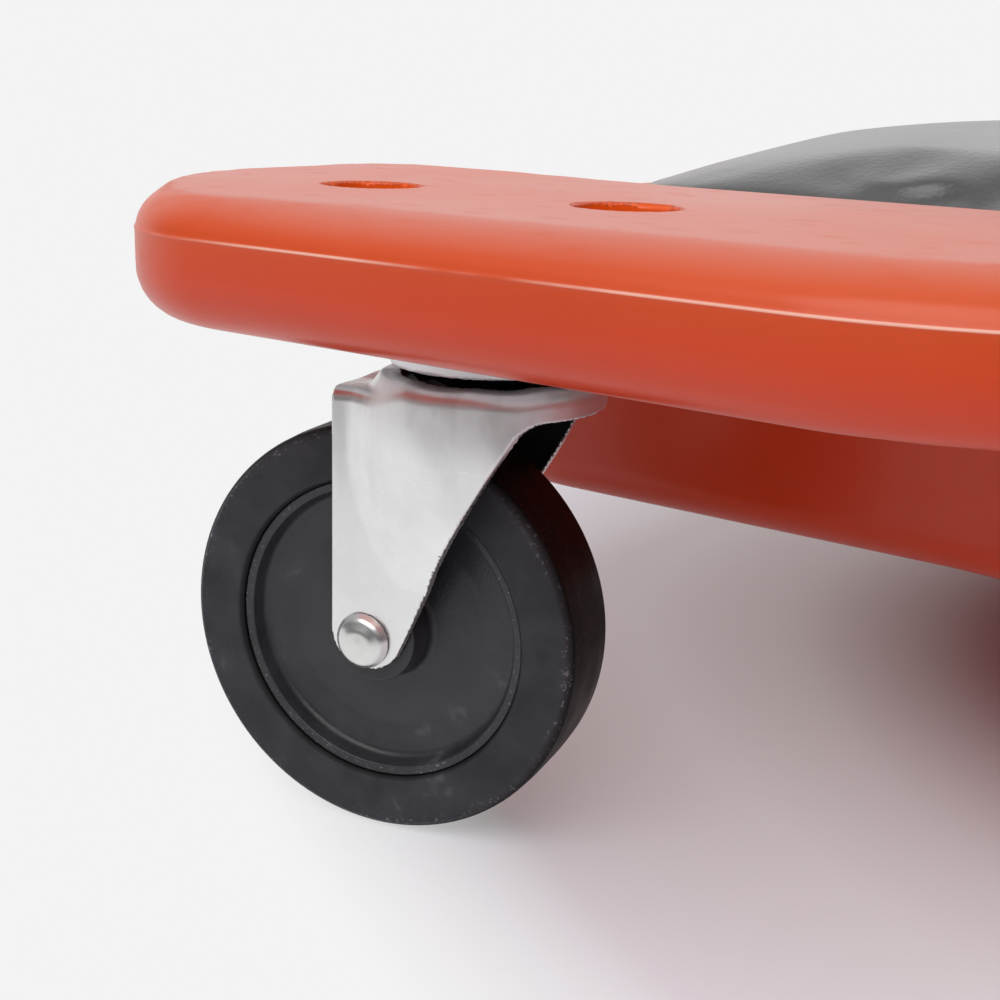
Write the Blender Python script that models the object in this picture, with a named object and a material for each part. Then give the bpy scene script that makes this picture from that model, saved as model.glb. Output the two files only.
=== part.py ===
"""Mechanic creeper: a blow-moulded deck on six swivel casters, with a padded headrest.

Metres, +Z up. The floor is Z = 0 and the origin is midway along and across the deck.
The head end is at -X.
"""
import math

import bmesh
import bpy
from mathutils import Matrix, Vector

# Driving dimensions
DECK_LENGTH = 1.016
DECK_WIDTH = 0.480
WHEEL_RADIUS = 0.0375
TYRE_WIDTH = 0.018
SHEET = 0.002
BOLT_RADIUS = 0.003
AXLE_RADIUS = 0.004
SEAT_GAP = 0.0003
RUNNING_GAP = 0.0004
PRESS_GAP = 0.0001

# Caster heights, worked up from the floor
CASTER_TRAIL = 0.0162
CASTER_SWIVEL = math.radians(192.2)
AXLE_HEIGHT = WHEEL_RADIUS
WEB_UNDER = 2 * WHEEL_RADIUS + 0.0048
WEB_TOP = WEB_UNDER + SHEET
RACE_TOP = WEB_TOP + 0.0027
CUP_UNDER = RACE_TOP + 0.0016
PLATE_UNDER = CUP_UNDER + 0.0045
PLATE_TOP = PLATE_UNDER + 0.0022

# Deck heights
EAR_THICKNESS = 0.0208
EAR_UNDER = PLATE_TOP + SEAT_GAP
EAR_TOP = EAR_UNDER + EAR_THICKNESS
EAR_OVERHANG = 0.046
RIM_TOP = EAR_TOP - 0.010
TUB_UNDER = EAR_UNDER - 0.048
BED_FLOOR = TUB_UNDER + 0.025

# Places of the casters on the deck
CASTER_Y = DECK_WIDTH / 2 - EAR_OVERHANG
HEAD_CASTER_INSET = 0.085
HEAD_CASTER_X = -(DECK_LENGTH / 2 - HEAD_CASTER_INSET)
BOLT_SPACING = 0.0514
WHEEL_BAY = 0.059
TUB_WALL_Y = CASTER_Y - WHEEL_BAY
TUB_WAIST_Y = TUB_WALL_Y + 0.038
RIM_WIDTH = 0.023
BED_FLOOR_INSET = 0.019
TUB_END_CORNER = 0.060
TUB_SIDE_CORNER = 0.035
BED_END_CORNER = 0.040
BED_SIDE_CORNER = 0.026

CASTERS = [
    ("head_right", HEAD_CASTER_X, -CASTER_Y),
    ("mid_right", 0.0, -CASTER_Y),
    ("foot_right", -HEAD_CASTER_X, -CASTER_Y),
    ("head_left", HEAD_CASTER_X, CASTER_Y),
    ("mid_left", 0.0, CASTER_Y),
    ("foot_left", -HEAD_CASTER_X, CASTER_Y),
]


# Scene and helpers

for leftover in list(bpy.data.objects):
    bpy.data.objects.remove(leftover, do_unlink=True)


def new_collection(name):
    collection = bpy.data.collections.new(name)
    bpy.context.scene.collection.children.link(collection)
    return collection


PARTS = new_collection("mechanic_creeper")
CUTTERS = new_collection("cutters")
CUTTERS.hide_render = True


def new_material(name, colour, roughness, metallic=0.0):
    material = bpy.data.materials.new(name)
    material.use_nodes = True
    shader = material.node_tree.nodes["Principled BSDF"]
    shader.inputs["Base Color"].default_value = (*colour, 1.0)
    shader.inputs["Roughness"].default_value = roughness
    shader.inputs["Metallic"].default_value = metallic
    return material


DECK_ORANGE = new_material("orange_polyethylene", (0.72, 0.085, 0.02), 0.42)
FORK_ZINC = new_material("zinc_plated_fork", (0.72, 0.72, 0.72), 0.28, 1.0)
PLATE_ZINC = new_material("zinc_plated_plate", (0.78, 0.78, 0.78), 0.35, 1.0)
RIVET_STEEL = new_material("bright_rivet_steel", (0.70, 0.70, 0.69), 0.22, 1.0)
BALL_STEEL = new_material("dark_ball_steel", (0.10, 0.10, 0.10), 0.35, 1.0)
HUB_BLACK = new_material("black_hub_plastic", (0.022, 0.022, 0.025), 0.45)
TYRE_BLACK = new_material("black_tyre_rubber", (0.030, 0.030, 0.033), 0.62)
BOLT_ZINC = new_material("zinc_plated_bolt", (0.66, 0.66, 0.65), 0.32, 1.0)
BOARD_WOOD = new_material("plywood_board", (0.42, 0.28, 0.15), 0.70)
PAD_VINYL = new_material("charcoal_vinyl", (0.035, 0.036, 0.040), 0.55)


def mesh_from(name, points, faces):
    """A closed mesh with its faces turned outwards."""
    form = bmesh.new()
    corners = [form.verts.new(point) for point in points]
    for face in faces:
        form.faces.new([corners[i] for i in face])
    bmesh.ops.recalc_face_normals(form, faces=form.faces[:])
    mesh = bpy.data.meshes.new(name)
    form.to_mesh(mesh)
    form.free()
    return mesh


def joined(name, meshes):
    """One mesh that holds several closed forms that lie apart."""
    form = bmesh.new()
    for mesh in meshes:
        form.from_mesh(mesh)
    whole = bpy.data.meshes.new(name)
    form.to_mesh(whole)
    form.free()
    return whole


def moved(mesh, matrix):
    copy = mesh.copy()
    copy.transform(matrix)
    return copy


def turned(name, profile, segments, first_angle=0.0, closed=True):
    """Revolve (radius, height) points about Z.

    A closed profile makes a ring. An open one starts and ends at a flat disc.
    """
    points, faces = [], []
    count = len(profile)
    for radius, height in profile:
        for i in range(segments):
            angle = first_angle + 2 * math.pi * i / segments
            points.append((radius * math.cos(angle), radius * math.sin(angle), height))
    bands = count if closed else count - 1
    for k in range(bands):
        low = k * segments
        high = ((k + 1) % count) * segments
        for i in range(segments):
            j = (i + 1) % segments
            faces.append((low + i, low + j, high + j, high + i))
    if not closed:
        last = (count - 1) * segments
        faces.append(tuple(range(segments)))
        faces.append(tuple(range(last, last + segments)))
    return mesh_from(name, points, faces)


def rounded_outline(corners, step):
    """Points and outward normals along a polygon, anticlockwise, with each corner an arc.

    Each corner is (x, y, radius). Inner corners may be rounded too.
    """
    outline = []
    count = len(corners)
    for i, (x, y, radius) in enumerate(corners):
        here = Vector((x, y))
        back = (Vector(corners[i - 1][:2]) - here).normalized()
        ahead = (Vector(corners[(i + 1) % count][:2]) - here).normalized()
        bend = math.pi - back.angle(ahead)
        outside = 1 if (-back).cross(ahead) > 0 else -1
        reach = radius / math.cos(bend / 2)
        centre = here + (back + ahead).normalized() * reach
        start = here + back * radius * math.tan(bend / 2) - centre
        pieces = max(2, math.ceil(bend / step))
        for k in range(pieces + 1):
            spoke = Matrix.Rotation(outside * bend * k / pieces, 2) @ start
            outline.append((centre + spoke, outside * spoke.normalized()))
    return outline


def lofted(name, outline, rings):
    """A solid through copies of an outline, each drawn in by an inset at a height."""
    points, faces = [], []
    count = len(outline)
    for inset, height in rings:
        for place, normal in outline:
            points.append((*(place - inset * normal), height))
    for k in range(len(rings) - 1):
        for i in range(count):
            j = (i + 1) % count
            low = k * count
            high = low + count
            faces.append((low + i, low + j, high + j, high + i))
    last = (len(rings) - 1) * count
    faces.append(tuple(range(count)))
    faces.append(tuple(range(last, last + count)))
    return mesh_from(name, points, faces)


def extruded(name, section, low, high):
    """A prism along Z from a list of (x, y) points."""
    count = len(section)
    points = [(x, y, low) for x, y in section] + [(x, y, high) for x, y in section]
    faces = [tuple(range(count)), tuple(range(count, 2 * count))]
    for i in range(count):
        j = (i + 1) % count
        faces.append((i, j, count + j, count + i))
    return mesh_from(name, points, faces)


def arc(centre_x, centre_y, radius, first, last, pieces):
    """Points on an arc between two angles in degrees, both ends included."""
    points = []
    for k in range(pieces + 1):
        angle = math.radians(first + (last - first) * k / pieces)
        points.append((centre_x + radius * math.cos(angle), centre_y + radius * math.sin(angle)))
    return points


def combine(target, operation, mesh):
    """Add an exact Boolean to an object, with its operand kept in the cutter collection."""
    operand = bpy.data.objects.new(f"cut_{target.name}_{mesh.name}", mesh)
    operand.display_type = "WIRE"
    operand.hide_render = True
    CUTTERS.objects.link(operand)
    step = target.modifiers.new(mesh.name, "BOOLEAN")
    step.operation = operation
    step.solver = "EXACT"
    step.object = operand


def finished(mesh, steps):
    """The mesh that a chain of exact Booleans leaves, for a piece that is used more than once."""
    blank = bpy.data.objects.new(f"blank_{mesh.name}", mesh)
    CUTTERS.objects.link(blank)
    for operation, operand in steps:
        combine(blank, operation, operand)
    graph = bpy.context.evaluated_depsgraph_get()
    result = bpy.data.meshes.new_from_object(blank.evaluated_get(graph))
    for step in list(blank.modifiers):
        bpy.data.objects.remove(step.object, do_unlink=True)
    bpy.data.objects.remove(blank, do_unlink=True)
    return result


def add_part(name, mesh, material, parent=None, place=(0.0, 0.0, 0.0)):
    part = bpy.data.objects.new(name, mesh.copy())
    part.data.name = name
    part.data.materials.clear()
    part.data.materials.append(material)
    part.location = place
    part.parent = parent
    PARTS.objects.link(part)
    return part


def add_axis(name, place, turn=0.0, parent=None):
    """An empty on a joint's axis."""
    empty = bpy.data.objects.new(name, None)
    empty.empty_display_size = 0.02
    empty.location = place
    empty.rotation_euler = (0.0, 0.0, turn)
    empty.parent = parent
    PARTS.objects.link(empty)
    return empty


ALONG_AXLE = Matrix.Rotation(math.radians(-90), 4, "X")


# Deck: one hollow blow moulding, drawn here as a solid tub with an ear over each caster

EAR_CORNER = 0.061
EAR_HEAD_REACH = 0.0688
EAR_ARM_REACH = 0.109
EAR_SPLAY = math.tan(math.radians(30))
EAR_INNER = 0.0615
EAR_INNER_CORNER = 0.012
EAR_TOP_FILLET = 0.0063
EAR_UNDER_FILLET = 0.009
MID_EAR_REACH = 0.080


def ear_outline(head_reach, head_lean, arm_reach):
    """One ear in plan about its swivel axis, with its outer edge towards -Y."""
    splay = EAR_SPLAY * (EAR_OVERHANG + EAR_INNER)
    return [
        (-head_reach, -EAR_OVERHANG, EAR_CORNER),
        (arm_reach, -EAR_OVERHANG, EAR_CORNER),
        (arm_reach + splay, EAR_INNER, EAR_INNER_CORNER),
        (-head_reach - head_lean, EAR_INNER, EAR_INNER_CORNER),
    ]


def ear_mesh(name, corners):
    """The ear's slab: large round edges, fullest at the mould's parting line."""
    parting = EAR_TOP - EAR_TOP_FILLET
    rings = [
        (EAR_UNDER_FILLET, EAR_UNDER),
        (0.30 * EAR_UNDER_FILLET, EAR_UNDER + 0.25 * EAR_UNDER_FILLET),
        (0.0, EAR_UNDER + EAR_UNDER_FILLET),
        (0.0, parting),
        (0.25 * EAR_TOP_FILLET, EAR_TOP - 0.32 * EAR_TOP_FILLET),
        (EAR_TOP_FILLET, EAR_TOP),
    ]
    return lofted(name, rounded_outline(corners, math.radians(20)), rings)


def deck_ears():
    splay = EAR_SPLAY * (EAR_OVERHANG + EAR_INNER)
    corner_ear = ear_mesh("corner_ear", ear_outline(EAR_HEAD_REACH, 0.0065, EAR_ARM_REACH))
    middle_ear = ear_mesh("middle_ear", ear_outline(MID_EAR_REACH, splay, MID_EAR_REACH))
    ears = []
    for name, x, y in CASTERS:
        ear = middle_ear if name.startswith("mid") else corner_ear
        flip = Matrix.Diagonal((-1 if x > 0 else 1, -1 if y > 0 else 1, 1, 1))
        placed = moved(ear, Matrix.Translation((x, y, 0)) @ flip)
        if flip.determinant() < 0:
            placed.flip_normals()
        ears.append(placed)
    return joined("ears", ears)


def tub_outline(inset, end_corner, side_corner):
    """The tub in plan: narrow beside each caster, wider between them."""
    end = DECK_LENGTH / 2 - inset
    narrow = TUB_WALL_Y - inset
    wide = TUB_WAIST_Y - inset
    beside = 0.070
    slope = 0.050
    near_corner = -HEAD_CASTER_X - beside - 0.012
    half = [
        (beside, narrow, side_corner),
        (beside + slope, wide, side_corner),
        (near_corner - slope, wide, side_corner),
        (near_corner, narrow, side_corner),
        (end, narrow, end_corner),
    ]
    corners = [(x, -y, r) for x, y, r in half]
    corners += [(x, y, r) for x, y, r in reversed(half)]
    corners += [(-x, y, r) for x, y, r in half]
    corners += [(-x, -y, r) for x, y, r in reversed(half)]
    return rounded_outline(corners, math.radians(24))


END_WEB_X = DECK_LENGTH / 2 - 0.0115
END_WEB_FILLET = 0.0033


def end_webs():
    """The web at each end that joins the rim to the two ears beside it."""
    reach = TUB_WALL_Y + 0.012
    corners = [
        (END_WEB_X - 0.080, -reach, 0.010),
        (END_WEB_X, -reach, 0.010),
        (END_WEB_X, reach, 0.010),
        (END_WEB_X - 0.080, reach, 0.010),
    ]
    low = EAR_UNDER + 0.0017
    high = RIM_TOP - 0.0011
    rings = [(END_WEB_FILLET, low), (0.0, low + END_WEB_FILLET), (0.0, high - END_WEB_FILLET),
             (END_WEB_FILLET, high)]
    web = lofted("web", rounded_outline(corners, math.radians(45)), rings)
    half_turn = Matrix.Rotation(math.pi, 4, "Z")
    return joined("end_webs", [web, moved(web, half_turn)])


def tub_mesh():
    rings = [
        (0.0135, TUB_UNDER),
        (0.0063, TUB_UNDER + 0.0018),
        (0.0035, TUB_UNDER + 0.0080),
        (0.0, RIM_TOP - 0.0055),
        (0.0016, RIM_TOP - 0.0016),
        (0.0055, RIM_TOP),
    ]
    return lofted("deck", tub_outline(0.0, TUB_END_CORNER, TUB_SIDE_CORNER), rings)


def bed_cutter():
    """The hollow that a person lies in, with a rolled rim and a rounded floor edge."""
    rings = [
        (BED_FLOOR_INSET, BED_FLOOR),
        (0.0090, BED_FLOOR + 0.0028),
        (0.0045, BED_FLOOR + 0.0110),
        (0.0010, RIM_TOP - 0.0060),
        (-0.0010, RIM_TOP - 0.0018),
        (-0.0060, RIM_TOP + 0.0003),
        (-0.0060, RIM_TOP + 0.0250),
    ]
    return lofted("bed", tub_outline(RIM_WIDTH, BED_END_CORNER, BED_SIDE_CORNER), rings)


POCKET_RADIUS = 0.0084
POCKET_DEPTH = 0.012
POCKET_FLOOR = EAR_TOP - POCKET_DEPTH
BOLT_HOLE_RADIUS = BOLT_RADIUS + RUNNING_GAP


def bolt_places(x, y):
    return [(x - BOLT_SPACING / 2, y), (x + BOLT_SPACING / 2, y)]


def pocket_cutters():
    """The round bolt pockets in the ears' tops, with the bolt holes below them."""
    profile = [
        (BOLT_HOLE_RADIUS, EAR_UNDER - 0.005),
        (BOLT_HOLE_RADIUS, POCKET_FLOOR),
        (POCKET_RADIUS, POCKET_FLOOR),
        (POCKET_RADIUS, EAR_TOP + 0.0050),
    ]
    pocket = turned("pocket", profile, 12, closed=False)
    placed = []
    for _, x, y in CASTERS:
        for bolt_x, bolt_y in bolt_places(x, y):
            placed.append(moved(pocket, Matrix.Translation((bolt_x, bolt_y, 0))))
    return joined("pockets", placed)


PAD_LENGTH = 0.150
PAD_X = HEAD_CASTER_X - 0.038 + PAD_LENGTH / 2
PAD_HALF_WIDTH = TUB_WALL_Y - RIM_WIDTH - 0.006
BOARD_THICKNESS = 0.008
BOARD_UNDER = BED_FLOOR + SEAT_GAP
BOARD_TOP = BOARD_UNDER + BOARD_THICKNESS
SCREW_RADIUS = 0.0025
SCREW_HEAD_RADIUS = 0.0055
SCREW_SEAT = TUB_UNDER + 0.008
BOARD_HALF_WIDTH = TUB_WALL_Y - RIM_WIDTH - BED_FLOOR_INSET - 0.003
SCREW_Y = BOARD_HALF_WIDTH - 0.030
SCREW_HOLE_RADIUS = SCREW_RADIUS + RUNNING_GAP


def screw_cutters():
    """The sunk seats and clear holes for the two headrest screws, driven from below."""
    head_well = SCREW_HEAD_RADIUS + 0.0015
    profile = [
        (head_well, TUB_UNDER - 0.005),
        (head_well, SCREW_SEAT),
        (SCREW_HOLE_RADIUS, SCREW_SEAT),
        (SCREW_HOLE_RADIUS, BED_FLOOR + 0.005),
    ]
    well = turned("screw_well", profile, 12, closed=False)
    places = [Matrix.Translation((PAD_X, side * SCREW_Y, 0)) for side in (-1, 1)]
    return joined("screw_wells", [moved(well, place) for place in places])


RIB_WIDTH = 0.022
RIB_HEIGHT = 0.0035
RIB_PITCH = 0.052
RIB_END_GAP = 0.045


def rib_mesh():
    """Three shallow beads along the bed floor, from below the headrest to the foot."""
    low = BED_FLOOR - 0.004
    top = BED_FLOOR + RIB_HEIGHT
    first = PAD_X + PAD_LENGTH / 2 + 0.035
    last = DECK_LENGTH / 2 - RIM_WIDTH - RIB_END_GAP
    ribs = []
    for k in (-1, 0, 1):
        middle = k * RIB_PITCH
        half = RIB_WIDTH / 2
        corners = [
            (first, middle - half, 0.0105),
            (last, middle - half, 0.0105),
            (last, middle + half, 0.0105),
            (first, middle + half, 0.0105),
        ]
        outline = rounded_outline(corners, math.radians(45))
        ribs.append(lofted(f"rib_{k}", outline, [(0.0, low), (0.0, top - 0.002), (0.003, top)]))
    return joined("ribs", ribs)


deck = add_part("deck", tub_mesh(), DECK_ORANGE)
combine(deck, "UNION", end_webs())
combine(deck, "UNION", deck_ears())
combine(deck, "DIFFERENCE", bed_cutter())
combine(deck, "UNION", rib_mesh())
combine(deck, "DIFFERENCE", pocket_cutters())
combine(deck, "DIFFERENCE", screw_cutters())


# Headrest: a plywood board screwed to the bed floor, with a vinyl-covered foam pad on it

def headrest_outline(half_length, half_width, corner, pull):
    """A rounded oblong whose sides are drawn in a little between its corners."""
    corners = [
        (-half_length, -half_width, corner),
        (half_length, -half_width, corner),
        (half_length, half_width, corner),
        (-half_length, half_width, corner),
    ]
    outline = []
    spread = rounded_outline(corners, math.radians(18))
    for i, (place, normal) in enumerate(spread):
        following, next_normal = spread[(i + 1) % len(spread)]
        outline.append((place, normal))
        if (following - place).length > corner:
            for part in (0.2, 0.5, 0.8):
                draw = pull * math.sin(math.pi * part)
                outline.append((place.lerp(following, part) - draw * normal, normal))
    return outline


PAD_UNDER = BOARD_TOP + SEAT_GAP
PAD_SHOULDER = EAR_TOP + 0.0006
PAD_CROWN = EAR_TOP + 0.0125
PAD_CORNER = 0.023
PAD_PULL = 0.0015


def pad_mesh():
    """Full round sides on a flat underside, with a top that rises to a crown."""
    outline = headrest_outline(PAD_LENGTH / 2, PAD_HALF_WIDTH, PAD_CORNER, PAD_PULL)
    count = len(outline)
    side_rings = [
        (0.0045, PAD_UNDER),
        (0.0010, PAD_UNDER + 0.0030),
        (0.0, PAD_UNDER + 0.0120),
        (0.0004, PAD_SHOULDER - 0.0090),
        (0.0022, PAD_SHOULDER - 0.0030),
        (0.0060, PAD_SHOULDER),
    ]
    points, faces = [], []
    for inset, height in side_rings:
        for place, normal in outline:
            points.append((*(place - inset * normal), height))
    shoulder = points[-count:]
    crown_scales = [0.90, 0.76, 0.56, 0.30]
    for scale in crown_scales:
        rise = (1 - scale ** 2) ** 1.15
        height = PAD_SHOULDER + (PAD_CROWN - PAD_SHOULDER) * rise
        points += [(x * scale, y * scale, height) for x, y, _ in shoulder]
    rings = len(side_rings) + len(crown_scales)
    for k in range(rings - 1):
        low = k * count
        high = low + count
        for i in range(count):
            j = (i + 1) % count
            faces.append((low + i, low + j, high + j, high + i))
    points.append((0.0, 0.0, PAD_CROWN))
    top = (rings - 1) * count
    for i in range(count):
        faces.append((top + i, top + (i + 1) % count, len(points) - 1))
    faces.append(tuple(range(count)))
    return mesh_from("headrest_pad", points, faces)


def board_mesh():
    corners = headrest_outline(PAD_LENGTH / 2 - 0.006, BOARD_HALF_WIDTH, PAD_CORNER, 0.0)
    rings = [(0.0, BOARD_UNDER), (0.0, BOARD_TOP - 0.0012), (0.0012, BOARD_TOP)]
    return lofted("headrest_board", corners, rings)


SCREW_TIP = BOARD_TOP - 0.0020


def board_holes():
    """The blind screw holes in the board's underside."""
    depth = SCREW_TIP + SEAT_GAP
    profile = [(SCREW_HOLE_RADIUS, BOARD_UNDER - 0.005), (SCREW_HOLE_RADIUS, depth)]
    hole = turned("board_hole", profile, 12, closed=False)
    places = [Matrix.Translation((0, side * SCREW_Y, 0)) for side in (-1, 1)]
    return joined("board_holes", [moved(hole, place) for place in places])


def screw_mesh():
    head_top = SCREW_SEAT - SEAT_GAP
    profile = [
        (0.55 * SCREW_HEAD_RADIUS, head_top - 0.0034),
        (0.90 * SCREW_HEAD_RADIUS, head_top - 0.0022),
        (SCREW_HEAD_RADIUS, head_top - 0.0008),
        (SCREW_HEAD_RADIUS, head_top),
        (SCREW_RADIUS, head_top),
        (SCREW_RADIUS, SCREW_TIP),
    ]
    return turned("headrest_screw", profile, 10, closed=False)


add_part("headrest_pad", pad_mesh(), PAD_VINYL, place=(PAD_X, 0, 0))
board = add_part("headrest_board", finished(board_mesh(), [("DIFFERENCE", board_holes())]), BOARD_WOOD,
                 place=(PAD_X, 0, 0))
add_part("headrest_screw_right", screw_mesh(), BOLT_ZINC, place=(PAD_X, -SCREW_Y, 0))
add_part("headrest_screw_left", screw_mesh(), BOLT_ZINC, place=(PAD_X, SCREW_Y, 0))


# Caster: top plate, ball ring, fork, kingpin, axle, hub and tyre about one swivel axis

KINGPIN_HOLE = AXLE_RADIUS + RUNNING_GAP
CUP_RADIUS = 0.0164
CROWN_RADIUS = 0.0206
RACE_OUTER = 0.0143
RACE_INNER = 0.0097
RACE_DEPTH = 0.0013
PLATE_LENGTH = BOLT_SPACING + 0.020
PLATE_WIDTH = 0.042
KINGPIN_WELL = PLATE_TOP - 0.0034


def plate_mesh():
    """A pressed plate whose middle is dished down to form the upper ball race."""
    half_x = PLATE_LENGTH / 2
    half_y = PLATE_WIDTH / 2
    corners = [
        (-half_x, -half_y, 0.008),
        (half_x, -half_y, 0.008),
        (half_x, half_y, 0.008),
        (-half_x, half_y, 0.008),
    ]
    blank = lofted("plate", rounded_outline(corners, math.radians(30)),
                   [(0.0, PLATE_UNDER), (0.0, PLATE_TOP)])
    cup = turned("cup", [
        (RACE_OUTER, CUP_UNDER + RACE_DEPTH),
        (RACE_OUTER, CUP_UNDER),
        (CUP_RADIUS, CUP_UNDER),
        (CUP_RADIUS + 0.0020, PLATE_UNDER + 0.0008),
    ], 20, closed=False)
    well = turned("kingpin_well", [
        (KINGPIN_HOLE, CUP_UNDER - 0.004),
        (KINGPIN_HOLE, KINGPIN_WELL),
        (0.0095, KINGPIN_WELL),
        (0.0125, PLATE_TOP + 0.001),
    ], 10, closed=False)
    hole = turned("plate_hole", [
        (BOLT_HOLE_RADIUS, PLATE_UNDER - 0.002),
        (BOLT_HOLE_RADIUS, PLATE_TOP + 0.002),
    ], 8, closed=False)
    holes = joined("plate_holes", [moved(hole, Matrix.Translation((x, 0, 0)))
                                   for x, _ in bolt_places(0.0, 0.0)])
    return finished(blank, [
        ("UNION", cup),
        ("DIFFERENCE", well),
        ("DIFFERENCE", holes),
    ])


def ball_ring_mesh():
    """The ring of bearing balls in its cage, swelling at each ball."""
    balls = 8
    low = RACE_TOP - RACE_DEPTH + SEAT_GAP
    high = CUP_UNDER + RACE_DEPTH - SEAT_GAP
    middle = (low + high) / 2
    points, faces = [], []
    steps = 2 * balls
    for i in range(steps):
        angle = 2 * math.pi * i / steps
        swell = 1.0 if i % 2 == 0 else 0.45
        radius = (RACE_OUTER + RACE_INNER) / 2
        half = (RACE_OUTER - RACE_INNER) / 2 - RUNNING_GAP
        for across, up in ((-half, 0.0), (0.0, (high - low) / 2), (half, 0.0), (0.0, (low - high) / 2)):
            reach = radius + across * swell
            points.append((reach * math.cos(angle), reach * math.sin(angle), middle + up * swell))
    for i in range(steps):
        j = (i + 1) % steps
        for k in range(4):
            n = (k + 1) % 4
            faces.append((4 * i + k, 4 * j + k, 4 * j + n, 4 * i + n))
    return mesh_from("ball_ring", points, faces)


LEG_OUTER = 0.013
LEG_INNER = LEG_OUTER - SHEET
LEG_REAR = 0.0227
LEG_END_RADIUS = 0.0069
LEG_END = (LEG_REAR - LEG_END_RADIUS, AXLE_HEIGHT + 0.0015)
LEG_SLOPE = 155.5
CROWN_FRONT = -0.0162


def leg_side():
    """The legs' outline from the side: a straight rear edge, a round end and a raked front edge."""
    end = arc(*LEG_END, LEG_END_RADIUS, 0.0, -LEG_SLOPE, 6)
    rake = math.radians(180 - LEG_SLOPE)
    foot_x, foot_y = end[-1]
    knee_y = WEB_UNDER - 0.0130
    knee_x = foot_x - (knee_y - foot_y) * math.tan(rake)
    shoulder = [
        (knee_x - 0.0046, knee_y + 0.0062),
        (knee_x - 0.0088, WEB_UNDER - 0.0022),
        (CROWN_FRONT, WEB_UNDER + 0.0006),
    ]
    head = WEB_TOP + 0.020
    return end + [(knee_x, knee_y)] + shoulder + [(CROWN_FRONT, head), (LEG_REAR, head)]


UPRIGHT = Matrix.Rotation(math.radians(90), 4, "X")
LENGTHWISE = Matrix(((0, 0, 1, 0), (1, 0, 0, 0), (0, 1, 0, 0), (0, 0, 0, 1)))


def side_prism():
    return moved(extruded("leg_side", leg_side(), -0.024, 0.024), UPRIGHT)


def fork_mesh():
    """A stamped fork: two legs bent down from a web, and a round crown drawn up for the balls."""
    bend = 0.004
    inner_bend = bend - SHEET
    corner = WEB_TOP - bend
    edge = LEG_OUTER - bend
    foot = AXLE_HEIGHT - 0.012
    section = [(LEG_OUTER, foot)] + arc(edge, corner, bend, 0, 90, 2)
    section += arc(-edge, corner, bend, 90, 180, 2) + [(-LEG_OUTER, foot), (-LEG_INNER, foot)]
    section += arc(-edge, corner, inner_bend, 180, 90, 1) + arc(edge, corner, inner_bend, 90, 0, 1)
    section += [(LEG_INNER, foot)]
    channel = moved(extruded("fork", section, CROWN_FRONT - 0.01, LEG_REAR + 0.01), LENGTHWISE)
    crown = turned("crown", [
        (CROWN_RADIUS - 0.0022, WEB_UNDER + 0.0004),
        (CROWN_RADIUS, WEB_UNDER - 0.0004),
        (CROWN_RADIUS, WEB_TOP - 0.0006),
        (CUP_RADIUS + 0.0014, RACE_TOP),
        (RACE_OUTER, RACE_TOP),
        (RACE_OUTER, RACE_TOP - RACE_DEPTH),
    ], 20, closed=False)
    swell = turned("swell", [
        (LEG_OUTER - 0.0005, WEB_UNDER - 0.0230),
        (LEG_OUTER + 0.0040, WEB_UNDER - 0.0142),
        (CROWN_RADIUS - 0.0010, WEB_UNDER - 0.0050),
        (CROWN_RADIUS - 0.0010, WEB_UNDER + 0.0010),
    ], 16, closed=False)
    slot_y = LEG_INNER + SHEET / 2
    slot = extruded("wheel_slot", [(-0.03, -slot_y), (0.03, -slot_y), (0.03, slot_y), (-0.03, slot_y)],
                    foot - 0.01, WEB_UNDER + SHEET / 4)
    pin_hole = turned("pin_hole", [(KINGPIN_HOLE, WEB_UNDER - 0.005), (KINGPIN_HOLE, RACE_TOP + 0.005)],
                      8, closed=False)
    axle_hole = turned("axle_hole", [(AXLE_RADIUS + PRESS_GAP, -0.03), (AXLE_RADIUS + PRESS_GAP, 0.03)],
                       8, math.radians(22.5), closed=False)
    axle_hole = moved(axle_hole, Matrix.Translation((CASTER_TRAIL, 0, AXLE_HEIGHT)) @ ALONG_AXLE)
    return finished(channel, [
        ("UNION", finished(swell, [("DIFFERENCE", slot)])),
        ("INTERSECT", side_prism()),
        ("UNION", crown),
        ("DIFFERENCE", pin_hole),
        ("DIFFERENCE", axle_hole),
    ])


def kingpin_mesh():
    """The rivet that holds the fork's crown up to the plate."""
    under = WEB_UNDER - SEAT_GAP
    over = KINGPIN_WELL + SEAT_GAP
    return turned("kingpin", [
        (0.0042, under - 0.0026),
        (0.0070, under - 0.0012),
        (0.0070, under),
        (AXLE_RADIUS, under),
        (AXLE_RADIUS, over),
        (0.0072, over),
        (0.0060, over + 0.0022),
    ], 8, closed=False)


HUB_HALF_BOSS = LEG_INNER - RUNNING_GAP
AXLE_HEAD_RADIUS = 0.0050


def axle_mesh():
    """The axle rivet, with a domed head outside each leg."""
    seat = LEG_OUTER + SEAT_GAP
    half = [(AXLE_RADIUS, seat), (AXLE_HEAD_RADIUS, seat), (0.95 * AXLE_HEAD_RADIUS, seat + 0.0012),
            (0.55 * AXLE_HEAD_RADIUS, seat + 0.0024)]
    profile = [(radius, -reach) for radius, reach in reversed(half)] + half
    return moved(turned("axle", profile, 8, math.radians(22.5), closed=False), ALONG_AXLE)


TYRE_INNER = 0.0276
HUB_BORE = AXLE_RADIUS + RUNNING_GAP
BOSS_RADIUS = 0.0088
WHEEL_SEGMENTS = 20


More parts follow.
